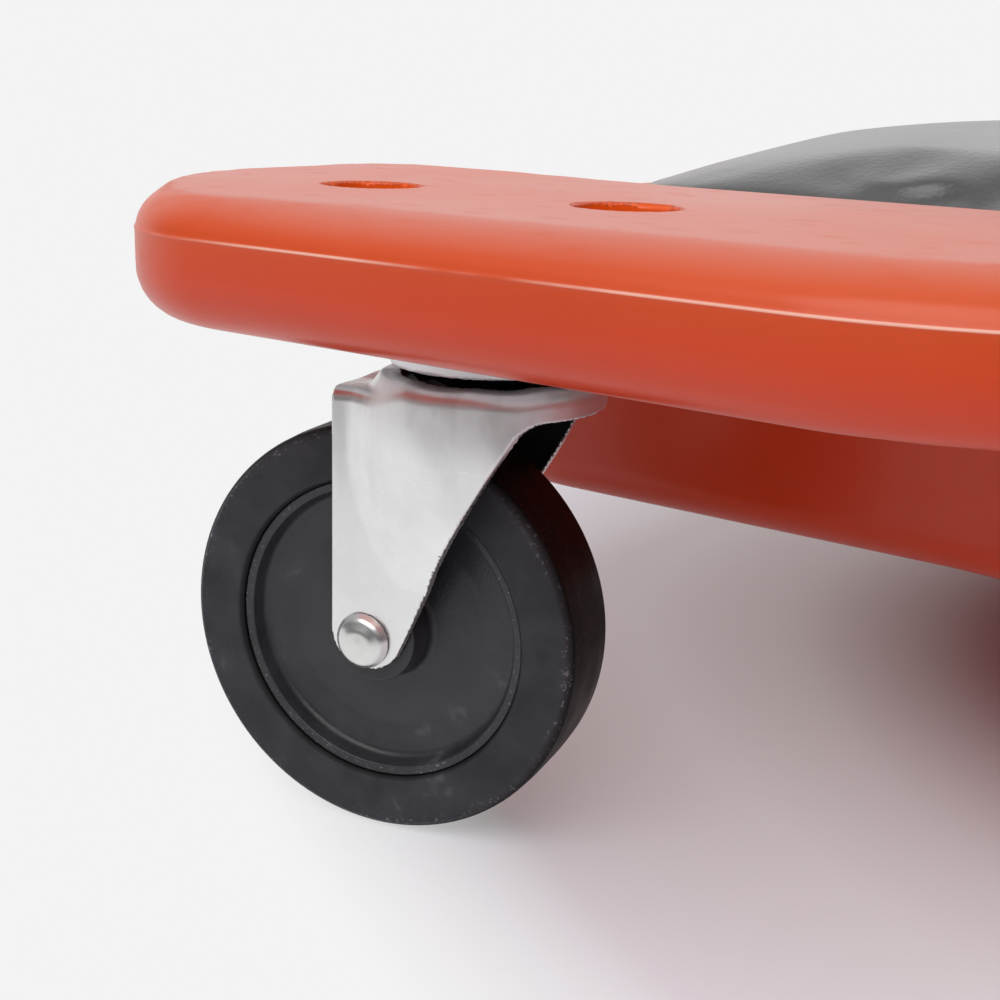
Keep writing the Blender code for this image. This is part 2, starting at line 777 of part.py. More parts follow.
def hub_mesh():
    """The moulded hub: a boss, a thin dished web and a rim that carries the tyre."""
    rim = TYRE_INNER - PRESS_GAP
    half_rim = TYRE_WIDTH / 2 - 0.0006
    half = [
        (HUB_BORE, HUB_HALF_BOSS),
        (BOSS_RADIUS, HUB_HALF_BOSS),
        (BOSS_RADIUS + 0.0008, 0.0046),
        (rim - 0.0050, 0.0036),
        (rim - 0.0024, half_rim - 0.0012),
        (rim, half_rim),
    ]
    profile = [(radius, reach) for radius, reach in half]
    profile += [(radius, -reach) for radius, reach in reversed(half)]
    return moved(turned("hub", profile, WHEEL_SEGMENTS), ALONG_AXLE)


def tyre_mesh():
    """The solid tyre: flat side rings and a plain tread with rounded shoulders."""
    half_width = TYRE_WIDTH / 2
    half = [
        (TYRE_INNER, half_width - 0.0004),
        (TYRE_INNER + 0.0004, half_width),
        (WHEEL_RADIUS - 0.0018, half_width),
        (WHEEL_RADIUS, half_width - 0.0018),
    ]
    profile = half + [(radius, -reach) for radius, reach in reversed(half)]
    return moved(turned("tyre", profile, WHEEL_SEGMENTS), ALONG_AXLE)


HEX_RADIUS = 0.00577
WASHER_RADIUS = POCKET_RADIUS - 0.0009
NUT_HEIGHT = 0.0036
BOLT_END = 0.0006


def bolt_mesh():
    """A hexagon bolt down through the ear and the plate, with its washer and its nut run on."""
    head_under = POCKET_FLOOR + SEAT_GAP
    washer_top = head_under + 0.0014
    nut_top = PLATE_UNDER - SEAT_GAP
    return turned("caster_bolt", [
        (HEX_RADIUS, washer_top + 0.0042),
        (HEX_RADIUS, washer_top),
        (WASHER_RADIUS, washer_top),
        (WASHER_RADIUS, head_under),
        (BOLT_RADIUS, head_under),
        (BOLT_RADIUS, nut_top),
        (HEX_RADIUS, nut_top),
        (HEX_RADIUS, nut_top - NUT_HEIGHT),
        (BOLT_RADIUS, nut_top - NUT_HEIGHT),
        (BOLT_RADIUS, nut_top - NUT_HEIGHT - BOLT_END),
    ], 6, closed=False)


plate = plate_mesh()
ball_ring = ball_ring_mesh()
fork = fork_mesh()
kingpin = kingpin_mesh()
axle = axle_mesh()
hub = hub_mesh()
tyre = tyre_mesh()
bolt = bolt_mesh()

for name, x, y in CASTERS:
    swivel = add_axis(f"{name}_swivel_axis", (x, y, 0), CASTER_SWIVEL)
    spin = add_axis(f"{name}_spin_axis", (CASTER_TRAIL, 0, AXLE_HEIGHT), parent=swivel)
    add_part(f"{name}_plate", plate, PLATE_ZINC, place=(x, y, 0))
    add_part(f"{name}_kingpin", kingpin, RIVET_STEEL, place=(x, y, 0))
    add_part(f"{name}_ball_ring", ball_ring, BALL_STEEL, swivel)
    add_part(f"{name}_fork", fork, FORK_ZINC, swivel)
    add_part(f"{name}_axle", axle, RIVET_STEEL, spin)
    add_part(f"{name}_hub", hub, HUB_BLACK, spin)
    add_part(f"{name}_tyre", tyre, TYRE_BLACK, spin)
    for side, (bolt_x, bolt_y) in zip(("head", "foot"), bolt_places(x, y)):
        add_part(f"{name}_bolt_{side}", bolt, BOLT_ZINC, place=(bolt_x, bolt_y, 0))
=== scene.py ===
"""Looks of a mechanic creeper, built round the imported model: deck, headrest and six swivel casters."""
import math

import bmesh
import bpy
import numpy as np
from mathutils import Matrix, Vector


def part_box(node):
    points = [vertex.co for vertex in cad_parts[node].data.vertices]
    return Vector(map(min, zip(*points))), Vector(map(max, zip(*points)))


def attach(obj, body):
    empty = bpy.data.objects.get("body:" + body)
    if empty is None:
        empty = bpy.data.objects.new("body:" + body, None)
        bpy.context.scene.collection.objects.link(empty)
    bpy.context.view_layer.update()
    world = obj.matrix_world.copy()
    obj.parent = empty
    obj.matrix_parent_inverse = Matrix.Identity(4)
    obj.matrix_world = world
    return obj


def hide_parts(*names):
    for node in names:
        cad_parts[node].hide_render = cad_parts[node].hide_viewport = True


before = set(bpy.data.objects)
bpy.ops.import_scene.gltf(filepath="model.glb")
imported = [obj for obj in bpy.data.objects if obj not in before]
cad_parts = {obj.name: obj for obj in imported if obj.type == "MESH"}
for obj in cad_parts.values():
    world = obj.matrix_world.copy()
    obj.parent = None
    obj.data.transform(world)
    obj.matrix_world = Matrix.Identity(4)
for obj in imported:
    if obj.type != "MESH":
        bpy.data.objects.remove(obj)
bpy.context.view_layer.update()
bpy.context.scene.view_settings.view_transform = "Standard"


# Deck: one hollow blow moulding in orange polyethylene, a tub with a rim and six rounded ears.
# Two mould halves close on it, so a thin parting line runs round the ears, and everything that
# meets does so in a soft fillet. Its shape is written as a distance and then skinned.

DECK_HALF_LENGTH = 0.508
CASTER_X = 0.423
CASTER_Y = 0.194

RIM_TOP = 0.1039
RIM_WIDTH = 0.023
RIM_OUTER_EDGE = 0.0055
RIM_INNER_EDGE = 0.0052
TUB_HALF_WIDTH = 0.135
TUB_CORNER = 0.060
TUB_UNDER = 0.0451
TUB_UNDER_EDGE = 0.008
TUB_DRAFT = 0.0035
TUB_DRAFT_TOP = RIM_TOP - RIM_OUTER_EDGE
TUB_DRAFT_DEPTH = 0.0423
WAIST_ROOT = 0.097
WAIST_ROOT_ENDS = (0.020, 0.391)
WAIST_OUT = 0.173
WAIST_OUT_ENDS = (0.120, 0.291)
TUB_WAIST_CORNER = 0.035
TUB_WAIST_FILLET = 0.0062

BED_FLOOR = 0.0701
BED_CORNER = 0.040
BED_FLOOR_FILLET = 0.012
BED_INSET = 0.001
BED_DRAFT_TOP = RIM_TOP - 0.006
BED_DRAFT_DEPTH = 0.0168
BED_WAIST_CORNER = 0.026
BED_WAIST_FILLET = 0.005
BEAD_X = 0.085
BEAD_PITCH = 0.052
BEAD_HALF_LENGTH = 0.355
BEAD_HALF_WIDTH = 0.011
BEAD_CORNER = 0.0105
BEAD_RISE = 0.0035
BEAD_ROOT = 0.004
BEAD_EDGE = 0.0025
BEAD_FILLET = 0.003

EAR_UNDER = 0.0931
EAR_TOP = 0.1139
EAR_OUT = 0.046
EAR_IN = 0.0615
EAR_SPLAY = math.tan(math.radians(30)) * (EAR_OUT + EAR_IN)
EAR_OUTER_ROUND = 0.061
EAR_INNER_ROUND = 0.020
EAR_TOP_FILLET = 0.0063
EAR_END_ROLL = 0.0052
EAR_SIDE_ROLL = 0.0125
EAR_ROLL_FROM = -0.050
EAR_ROLL_OVER = 0.060
EAR_UNDER_FILLET = 0.0085
EAR_ROOT_FILLET = 0.005
CORNER_EAR_SIDE = 0.109
MIDDLE_EAR_SIDE = 0.080
END_WEB_X = 0.4565
END_WEB_HALF_LENGTH = 0.040
END_WEB_HALF_WIDTH = 0.147
END_WEB_CORNER = 0.010
END_WEB_TOP = RIM_TOP - 0.0011
END_WEB_UNDER = EAR_UNDER + 0.0017
END_WEB_EDGE = 0.0033
END_WEB_FILLET = 0.004

PARTING_LEVEL = EAR_TOP - EAR_TOP_FILLET + 0.0002
PARTING_RIDGE = 0.00016
PARTING_RIDGE_WIDTH = 0.00036
PARTING_STEP = 0.00010
PARTING_STEP_WIDTH = 0.0003
PARTING_ROWS = (-0.0010, -0.0005, -0.0002, 0.0, 0.0002, 0.0005, 0.0010)

BOLT_OUT = 0.0257
POCKET_RADIUS = 0.0084
POCKET_FLOOR = EAR_TOP - 0.012
POCKET_FLOOR_FILLET = 0.0008
POCKET_LIP = 0.0005
HEADREST_X = -0.386
SCREW_Y = 0.060
SCREW_WELL_RADIUS = 0.007
SCREW_WELL_TOP = TUB_UNDER + 0.008
SCREW_WELL_LIP = 0.0008

CORNER_EAR = [
    (-0.0711, -0.0072, 0.060), (-0.03625, -EAR_OUT, 0.030), (CORNER_EAR_SIDE, -EAR_OUT, EAR_OUTER_ROUND),
    (CORNER_EAR_SIDE + EAR_SPLAY, EAR_IN, EAR_INNER_ROUND), (-0.0753, EAR_IN, EAR_INNER_ROUND),
]
MIDDLE_EAR = [
    (-MIDDLE_EAR_SIDE, -EAR_OUT, EAR_OUTER_ROUND), (MIDDLE_EAR_SIDE, -EAR_OUT, EAR_OUTER_ROUND),
    (MIDDLE_EAR_SIDE + EAR_SPLAY, EAR_IN, EAR_INNER_ROUND),
    (-MIDDLE_EAR_SIDE - EAR_SPLAY, EAR_IN, EAR_INNER_ROUND),
]


def waist_outline(inset, corner):
    """The swell of the tub's side between two ears, drawn in by an inset."""
    root = [(x, WAIST_ROOT - inset, 0.0) for x in WAIST_ROOT_ENDS]
    out = [(x, WAIST_OUT - inset, corner) for x in reversed(WAIST_OUT_ENDS)]
    return root + out


TUB_WAIST = waist_outline(0.0, TUB_WAIST_CORNER)
BED_WAIST = waist_outline(RIM_WIDTH, BED_WAIST_CORNER)


def rounded_edge(a, b, radius):
    """Where two forms are cut to what they share, with the outer edge rounded."""
    reach = np.hypot(np.maximum(a + radius, 0), np.maximum(b + radius, 0))
    return np.minimum(np.maximum(a, b), -radius) + reach


def smooth(t):
    """A soft rise from 0 to 1."""
    t = np.clip(t, 0, 1)
    return t * t * (3 - 2 * t)


def rolled_edge(side, top, reach, drop):
    """The same cut with a wide edge that leaves the top in a soft crease and meets the side upright."""
    out = np.maximum(side + reach, 0) / reach
    up = np.maximum(top + drop, 0) / drop
    over = out ** 1.5 + up ** 2 - 1
    slope = np.hypot(1.5 * np.sqrt(out) / reach, 2 * up / drop)
    return np.where(slope > 1, over / np.maximum(slope, 1), np.maximum(side, top))


def moulded_fillet(a, b, radius):
    """Where two forms run together, with the inner corner filled to a radius."""
    reach = np.hypot(np.maximum(radius - a, 0), np.maximum(radius - b, 0))
    return np.maximum(np.minimum(a, b), radius) - reach


def plan_distance(x, y, corners):
    """Distance outside a convex outline, anticlockwise, whose corners are (x, y, radius)."""
    count = len(corners)
    places = [Vector(corner[:2]) for corner in corners]
    headings = [(places[(i + 1) % count] - places[i]).normalized() for i in range(count)]
    outside = None
    for place, heading in zip(places, headings):
        edge = (x - place.x) * heading.y - (y - place.y) * heading.x
        outside = edge if outside is None else np.maximum(outside, edge)
    for i, (_, _, radius) in enumerate(corners):
        if radius == 0:
            continue
        arriving, leaving = headings[i - 1], headings[i]
        bend = arriving.angle(leaving)
        centre = places[i] + (leaving - arriving).normalized() * radius / math.cos(bend / 2)
        beyond = (x - centre.x) * arriving.x + (y - centre.y) * arriving.y > 0
        before = (x - centre.x) * leaving.x + (y - centre.y) * leaving.y < 0
        spoke = np.hypot(x - centre.x, y - centre.y) - radius
        outside = np.where(beyond & before, spoke, outside)
    return outside


def oblong_distance(x, y, half_x, half_y, corner):
    """Distance outside a rounded oblong about the origin."""
    over_x = np.abs(x) - half_x + corner
    over_y = np.abs(y) - half_y + corner
    beyond = np.hypot(np.maximum(over_x, 0), np.maximum(over_y, 0))
    return beyond + np.minimum(np.maximum(over_x, over_y), 0) - corner


def deck_field(x, y, z):
    """The whole moulding: the tub, its end webs and ears, less the bed, the pockets and the screw wells."""
    along = np.abs(x)
    across = np.abs(y)
    from_corner_caster = CASTER_X - along
    inboard = CASTER_Y - across

    tub_oblong = oblong_distance(x, y, DECK_HALF_LENGTH, TUB_HALF_WIDTH, TUB_CORNER)
    tub_plan = moulded_fillet(tub_oblong, plan_distance(along, across, TUB_WAIST), TUB_WAIST_FILLET)
    tub_draft = TUB_DRAFT * np.clip((TUB_DRAFT_TOP - z) / TUB_DRAFT_DEPTH, 0, 1.2)
    tub = rounded_edge(tub_plan + tub_draft, z - RIM_TOP, RIM_OUTER_EDGE)
    tub = rounded_edge(tub, TUB_UNDER - z, TUB_UNDER_EDGE)

    web_plan = oblong_distance(along - END_WEB_X, y, END_WEB_HALF_LENGTH, END_WEB_HALF_WIDTH, END_WEB_CORNER)
    web = rounded_edge(web_plan, z - END_WEB_TOP, END_WEB_EDGE)
    web = rounded_edge(web, END_WEB_UNDER - z, END_WEB_EDGE)
    body = moulded_fillet(tub, web, END_WEB_FILLET)

    ear_plan = np.minimum(plan_distance(from_corner_caster, inboard, CORNER_EAR),
                          plan_distance(along, inboard, MIDDLE_EAR))
    ridge = PARTING_RIDGE * np.exp(-((z - PARTING_LEVEL) / PARTING_RIDGE_WIDTH) ** 2)
    step = PARTING_STEP * np.tanh((z - PARTING_LEVEL) / PARTING_STEP_WIDTH)
    ear_side = ear_plan - ridge + step
    sideways = smooth((from_corner_caster - EAR_ROLL_FROM) / EAR_ROLL_OVER)
    roll = EAR_END_ROLL + (EAR_SIDE_ROLL - EAR_END_ROLL) * sideways
    ear = np.maximum(rolled_edge(ear_side, z - EAR_TOP, roll, EAR_TOP_FILLET),
                     rounded_edge(ear_side, EAR_UNDER - z, EAR_UNDER_FILLET))
    body = moulded_fillet(body, ear, EAR_ROOT_FILLET)

    bed_oblong = oblong_distance(x, y, DECK_HALF_LENGTH - RIM_WIDTH, TUB_HALF_WIDTH - RIM_WIDTH, BED_CORNER)
    bed_plan = moulded_fillet(bed_oblong, plan_distance(along, across, BED_WAIST), BED_WAIST_FILLET)
    bed_draft = BED_INSET + TUB_DRAFT * np.clip((BED_DRAFT_TOP - z) / BED_DRAFT_DEPTH, 0, 1.6)
    bed = rounded_edge(bed_plan + bed_draft, BED_FLOOR - z, BED_FLOOR_FILLET)
    body = rounded_edge(body, -bed, RIM_INNER_EDGE)

    bead_y = np.minimum(across, np.abs(across - BEAD_PITCH))
    bead_plan = oblong_distance(x - BEAD_X, bead_y, BEAD_HALF_LENGTH, BEAD_HALF_WIDTH, BEAD_CORNER)
    bead = rounded_edge(bead_plan, z - BED_FLOOR - BEAD_RISE, BEAD_EDGE)
    body = moulded_fillet(body, np.maximum(bead, BED_FLOOR - BEAD_ROOT - z), BEAD_FILLET)

    from_bolt = np.minimum(np.hypot(np.abs(from_corner_caster) - BOLT_OUT, inboard),
                           np.hypot(along - BOLT_OUT, inboard))
    pocket = rounded_edge(from_bolt - POCKET_RADIUS, POCKET_FLOOR - z, POCKET_FLOOR_FILLET)
    body = rounded_edge(body, -pocket, POCKET_LIP)

    from_screw = np.hypot(x - HEADREST_X, across - SCREW_Y)
    well = np.maximum(from_screw - SCREW_WELL_RADIUS, z - SCREW_WELL_TOP)
    return rounded_edge(body, -well, SCREW_WELL_LIP)


def skin_of(field, low, high, step):
    """Points and four-sided faces on the surface where a field passes through zero."""
    axes = [np.arange(a, b + step, step) for a, b in zip(low, high)]
    values = field(*np.meshgrid(*axes, indexing="ij", sparse=True))
    values = np.where(values == 0, 1e-12, values)
    cells = tuple(n - 1 for n in values.shape)
    totals = np.zeros((int(np.prod(cells)), 3))
    counts = np.zeros(len(totals))
    crossings = []
    for axis in range(3):
        near = np.take(values, range(values.shape[axis] - 1), axis)
        far = np.take(values, range(1, values.shape[axis]), axis)
        where = np.array(np.nonzero((near < 0) != (far < 0)))
        first = near[tuple(where)]
        share = first / (first - far[tuple(where)])
        place = np.stack([axes[k][where[k]] for k in range(3)], 1)
        place[:, axis] += share * step
        u, v = (axis + 1) % 3, (axis + 2) % 3
        ring = []
        for du, dv in ((-1, -1), (0, -1), (0, 0), (-1, 0)):
            cell = where.copy()
            cell[u] += du
            cell[v] += dv
            index = np.ravel_multi_index(cell, cells)
            for k in range(3):
                totals[:, k] += np.bincount(index, place[:, k], len(totals))
            counts += np.bincount(index, minlength=len(totals))
            ring.append(index)
        ring = np.stack(ring, 1)
        crossings.append(np.where((first < 0)[:, None], ring, ring[:, ::-1]))
    used = counts > 0
    points = totals[used] / counts[used, None]
    number = np.cumsum(used) - 1
    return points, number[np.concatenate(crossings)]


def slope_of(points, field, reach=2e-5):
    """The field's slope at each point, which is the skin's outward direction there."""
    slope = np.empty_like(points)
    for k in range(3):
        offset = np.zeros(3)
        offset[k] = reach
        slope[:, k] = (field(*(points + offset).T) - field(*(points - offset).T)) / (2 * reach)
    return slope


def settled(points, field, rounds, least_slope=0.3, most=0.001):
    """The points drawn on to the true surface."""
    for _ in range(rounds):
        slope = slope_of(points, field)
        size = np.maximum((slope ** 2).sum(1), least_slope)
        move = field(*points.T)[:, None] * slope / size[:, None]
        points = points - np.clip(move, -most, most)
    return points


def mesh_of(name, points, faces, normals=None):
    mesh = bpy.data.meshes.new(name)
    mesh.from_pydata(np.asarray(points).tolist(), [], [list(face) for face in faces])
    mesh.polygons.foreach_set("use_smooth", [True] * len(mesh.polygons))
    if normals is not None:
        mesh.normals_split_custom_set_from_vertices(np.asarray(normals).tolist())
    mesh.update()
    return mesh


def points_of(mesh):
    flat = np.empty(3 * len(mesh.vertices))
    mesh.vertices.foreach_get("co", flat)
    return flat.reshape(-1, 3)


def thinned(mesh, share):
    """The mesh with its flat areas carried by fewer faces."""
    holder = bpy.data.objects.new("thinning", mesh)
    bpy.context.scene.collection.objects.link(holder)
    holder.modifiers.new("thin", "DECIMATE").ratio = share
    graph = bpy.context.evaluated_depsgraph_get()
    result = bpy.data.meshes.new_from_object(holder.evaluated_get(graph))
    bpy.data.objects.remove(holder)
    return result


def moulded_mesh(name, field, low, high, step, share=1.0, refine=None):
    """A skin on a field, refined where asked, thinned where flat, with true normals."""
    points, faces = skin_of(field, low, high, step)
    mesh = mesh_of(name, settled(points, field, 2), faces.tolist())
    if refine:
        refine(mesh)
        mesh.vertices.foreach_set("co", settled(points_of(mesh), field, 3).ravel())
    if share < 1:
        mesh = thinned(mesh, share)
    points = settled(points_of(mesh), field, 2)
    slope = slope_of(points, field)
    normals = slope / np.maximum(np.linalg.norm(slope, axis=1), 1e-9)[:, None]
    faces = [list(face.vertices) for face in mesh.polygons]
    bpy.data.meshes.remove(mesh)
    return mesh_of(name, points, faces, normals)


def placed(name, mesh, material, body, node, matrix=None):
    """A piece at its place, on the body that carries it, in place of its solid."""
    piece = bpy.data.objects.new(name, mesh)
    bpy.context.scene.collection.objects.link(piece)
    if matrix is not None:
        piece.matrix_world = matrix
    if not mesh.materials:
        mesh.materials.append(material)
    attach(piece, body)
    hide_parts(node)
    return piece


def node(tree, kind, sockets=None, **fields):
    """One shader node, with its sockets set or linked."""
    made = tree.nodes.new(kind)
    for field, value in fields.items():
        setattr(made, field, value)
    for socket, value in (sockets or {}).items():
        if isinstance(value, bpy.types.NodeSocket):
            tree.links.new(value, made.inputs[socket])
        else:
            made.inputs[socket].default_value = value
    return made


def new_finish(name, metallic=0.0, **constants):
    """A material with its tree, its base shader and the piece's own coordinates."""
    material = bpy.data.materials.new(name)
    material.use_nodes = True
    tree = material.node_tree
    shader = tree.nodes["Principled BSDF"]
    shader.inputs["Metallic"].default_value = metallic
    for socket, value in constants.items():
        shader.inputs[socket.replace("_", " ")].default_value = value
    where = node(tree, "ShaderNodeTexCoord").outputs["Object"]
    return material, tree, shader, where


def mottle(tree, where, scale, detail=3.0, stretch=(1.0, 1.0, 1.0), roughness=0.5):
    """Soft noise from 0 to 1, drawn out along an axis by a small stretch."""
    mapped = node(tree, "ShaderNodeMapping", {"Vector": where, "Scale": stretch}).outputs[0]
    noise = node(tree, "ShaderNodeTexNoise", {"Vector": mapped, "Scale": scale, "Detail": detail,
                                              "Roughness": roughness})
    return noise.outputs[0]


def ranged(tree, value, low, high, first, last):
    """A value between two levels, carried over to a new range and held there."""
    sockets = {"Value": value, "From Min": low, "From Max": high, "To Min": first, "To Max": last}
    return node(tree, "ShaderNodeMapRange", sockets).outputs[0]


def shaded(tree, value, *stops):
    """A colour for a value, between stops of (level, colour)."""
    ramp = node(tree, "ShaderNodeValToRGB", {"Fac": value})
    elements = ramp.color_ramp.elements
    while len(elements) < len(stops):
        elements.new(0.5)
    for element, (level, colour) in zip(elements, stops):
        element.position = level
        element.color = (*colour, 1.0)
    return ramp.outputs[0]


def reckoned(tree, operation, first, second=0.0):
    """What one operation makes of two values."""
    return node(tree, "ShaderNodeMath", {0: first, 1: second}, operation=operation).outputs[0]


def summed(tree, first, second, share=1.0):
    """One value and a share of another."""
    return reckoned(tree, "ADD", first, reckoned(tree, "MULTIPLY", second, share))


def mixed(tree, share, first, second):
    """One colour run into another by a share."""
    return node(tree, "ShaderNodeMixRGB", {"Fac": share, "Color1": first, "Color2": second}).outputs[0]


def axes_of(tree, where):
    """The three coordinates of a place."""
    return node(tree, "ShaderNodeSeparateXYZ", {"Vector": where}).outputs


def coloured(tree, shader, colour, rough):
    tree.links.new(colour, shader.inputs["Base Color"])
    tree.links.new(rough, shader.inputs["Roughness"])


def bumped(tree, shader, height, depth, strength=1.0):
    bump = node(tree, "ShaderNodeBump", {"Height": height, "Distance": depth, "Strength": strength})
    tree.links.new(bump.outputs[0], shader.inputs["Normal"])


def orange_polyethylene(name, painted_pocket_light):
    """Satin mould skin: slow colour drift, flow streaks, fine pebble, rubbed spots, and a pale line along the
    parting line that is a painted highlight.

    It is painted deeper underneath and lighter on top, as shade and light from above, and the second argument
    is the share of a brighter orange, painted light, that it takes."""
    material, tree, shader, where = new_finish(name, IOR=1.5, Specular_IOR_Level=0.4,
                                              Coat_Weight=0.22, Coat_Roughness=0.20)
    height = axes_of(tree, where)["Z"]
    drift = mottle(tree, where, 14.0, 3.0)
    streak = mottle(tree, where, 60.0, 3.0, (0.18, 1.0, 1.6))
    tone = summed(tree, drift, streak, 0.35)
    # Painted light and shade: a deeper copy of the orange underneath and a lighter copy on top, mixed by
    # height.
    under_shaded_orange = shaded(tree, tone, (0.35, (0.620, 0.038, 0.002)), (1.0, (0.700, 0.052, 0.004)))
    top_lit_orange = shaded(tree, tone, (0.35, (0.660, 0.068, 0.004)), (1.0, (0.740, 0.090, 0.008)))
    # Painted light: a brighter orange, mixed in by the second argument, which the pockets take.
    bright = (0.97, 0.115, 0.002, 1.0)
    painted_top_light = ranged(tree, height, EAR_UNDER + 0.006, EAR_TOP - 0.001, 0.0, 1.0)
    colour = mixed(tree, painted_pocket_light, mixed(tree, painted_top_light, under_shaded_orange, top_lit_orange), bright)
    # Painted highlight: a thin, broken pale line along the parting line.
    off_line = reckoned(tree, "ABSOLUTE", reckoned(tree, "SUBTRACT", height, PARTING_LEVEL))
    broken = mottle(tree, where, 24.0, 4.0, (1.0, 1.0, 0.1))
    painted_line_highlight = reckoned(tree, "MULTIPLY", ranged(tree, off_line, 0.00010, 0.00026, 1.0, 0.0),
                     ranged(tree, broken, 0.38, 0.62, 0.05, 0.95))
    pale = (0.95, 0.50, 0.38, 1.0)
    rubbed = mottle(tree, where, 220.0, 4.0, (0.5, 1.0, 1.0))
    rough = summed(tree, ranged(tree, drift, 0.3, 0.7, 0.33, 0.41),
                   ranged(tree, rubbed, 0.55, 0.75, 0.0, 0.10))
    coloured(tree, shader, mixed(tree, painted_line_highlight, colour, pale), rough)
    pebble = mottle(tree, where, 1500.0, 2.0)
    drag = mottle(tree, where, 700.0, 3.0, (0.10, 0.10, 1.0))
    wave = mottle(tree, where, 70.0, 2.0)
    grain = summed(tree, summed(tree, wave, pebble, 0.24), drag, 0.12)
    bumped(tree, shader, grain, 0.00012, 0.6)
    return material


def off_bolt(place):
    """How far a place is, in plan, from the nearest bolt."""
    inboard = CASTER_Y - abs(place.y)
    return min(math.hypot(abs(CASTER_X - abs(place.x)) - BOLT_OUT, inboard),
               math.hypot(abs(place.x) - BOLT_OUT, inboard))


def in_pocket(place):
    """Whether a place is on a pocket's wall or floor."""
    within = POCKET_FLOOR - 0.001 < place.z < EAR_TOP - 0.0004
    return within and off_bolt(place) < POCKET_RADIUS + 0.0004


def near_lip(place):
    """Whether a place is close to a pocket's wall or to its lip."""
    high = place.z >= POCKET_FLOOR - 0.002
    return high and POCKET_RADIUS - 0.003 < off_bolt(place) < POCKET_RADIUS + 0.0045


def refine_deck(mesh):
    """Finer faces round the pockets' lips, and rows of edges along the parting line."""
    form = bmesh.new()
    form.from_mesh(mesh)
    for row in PARTING_ROWS:
        height = PARTING_LEVEL + row
        band = [f for f in form.faces if abs(f.calc_center_median().z - height) < 0.003
                and abs(f.normal.z) < 0.9 and abs(f.calc_center_median().y) > 0.128]
        parts = set(band)
        for face in band:
            parts.update(face.edges)
            parts.update(face.verts)
        bmesh.ops.bisect_plane(form, geom=list(parts), dist=1e-6,
                               plane_co=(0, 0, height), plane_no=(0, 0, 1))
    edges = set()
    for face in form.faces:
        if near_lip(face.calc_center_median()):
            edges.update(face.edges)
    bmesh.ops.subdivide_edges(form, edges=list(edges), cuts=3, use_grid_fill=True)
    bmesh.ops.triangulate(form, faces=[f for f in form.faces if len(f.verts) > 4])
    form.to_mesh(mesh)
    form.free()


deck_mesh = moulded_mesh("deck_skin", deck_field, (-0.514, -0.246, 0.0415), (0.514, 0.246, 0.1185),
                         step=0.0023, share=0.30, refine=refine_deck)
deck_orange = orange_polyethylene("orange_polyethylene", painted_pocket_light=0.0)
# The pockets' walls and floor take the brighter orange: painted light inside the pockets.
pocket_orange = orange_polyethylene("orange_pocket_painted_light", painted_pocket_light=0.85)
deck_mesh.materials.append(deck_orange)
deck_mesh.materials.append(pocket_orange)
for face in deck_mesh.polygons:
    face.material_index = int(in_pocket(face.center))
placed("deck_skin", deck_mesh, deck_orange, "deck_body", "deck")


# Headrest board: plywood, cut to fit the bed's floor and held by two screws driven from below.
# The screws sit in sunk wells in the deck's underside. Both keep their solids.

def plywood():
    material, tree, shader, where = new_finish("plywood_board")
    figure = mottle(tree, where, 30.0, 4.0, (0.12, 1.0, 6.0))
    coloured(tree, shader, shaded(tree, figure, (0.3, (0.30, 0.18, 0.085)), (0.7, (0.46, 0.31, 0.17))),
             ranged(tree, figure, 0.3, 0.7, 0.62, 0.80))
    bumped(tree, shader, mottle(tree, where, 500.0, 3.0, (0.1, 1.0, 1.0)), 0.0002, 0.5)
    return material


def zinc_plate(name, bright, rough, blotch=90.0, drawn_from=None, haze=0.0):
    """Bright zinc over pressed steel: cloudy plating and small specks.

    Above drawn_from, where the sheet was drawn, it has wrinkles, a duller crown and darker streaks that are
    painted dark reflections in its folds."""
    material, tree, shader, where = new_finish(name, metallic=1.0 - haze)
    cloud = mottle(tree, where, blotch, 4.0)
    speck = mottle(tree, where, 1600.0, 2.0)
    tone = summed(tree, cloud, speck, 0.04)
    dim = tuple(0.86 * c for c in bright)
    colour = shaded(tree, tone, (0.35, dim), (0.75, bright))
    roughness = ranged(tree, tone, 0.35, 0.85, *rough)
    dent = mottle(tree, where, 140.0, 2.0)
    if drawn_from is not None:
        axes = axes_of(tree, where)
        crown_from = drawn_from + 0.012
        upper = ranged(tree, axes["Z"], drawn_from, crown_from, 0.0, 1.0)
        # Painted reflection: darker streaks on the drawn sheet, for the dark reflections in its folds.
        streak = ranged(tree, mottle(tree, where, 170.0, 3.0, (1.0, 0.3, 0.22)), 0.50, 0.66, 0.0, 0.30)
        painted_fold_reflection = tuple(0.45 * c for c in bright) + (1.0,)
        colour = mixed(tree, reckoned(tree, "MULTIPLY", streak, upper), colour, painted_fold_reflection)
        crown = ranged(tree, axes["Z"], crown_from, crown_from + 0.007, 0.0, 0.20)
        front = ranged(tree, axes["X"], 0.012, 0.017, 1.0, 0.0)
        roughness = summed(tree, roughness, reckoned(tree, "MULTIPLY", crown, front))
        wrinkle = mottle(tree, where, 240.0, 2.0, (1.0, 1.0, 0.3))
        dent = summed(tree, dent, reckoned(tree, "MULTIPLY", wrinkle, upper), 1.5)
    coloured(tree, shader, colour, roughness)
    drawn = mottle(tree, where, 900.0, 3.0, (1.0, 1.0, 0.25))
    bumped(tree, shader, summed(tree, dent, drawn, 0.03), 0.00022, 0.55)
    return material


def refinish(node_name, material):
    """A solid that stays in view, with its own finish."""
    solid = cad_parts[node_name]
    solid.data.materials.clear()
    solid.data.materials.append(material)


refinish("headrest_board", plywood())
screw_zinc = zinc_plate("zinc_screw", (0.74, 0.74, 0.72), rough=(0.30, 0.45))
for side in ("right", "left"):
    refinish(f"headrest_screw_{side}", screw_zinc)


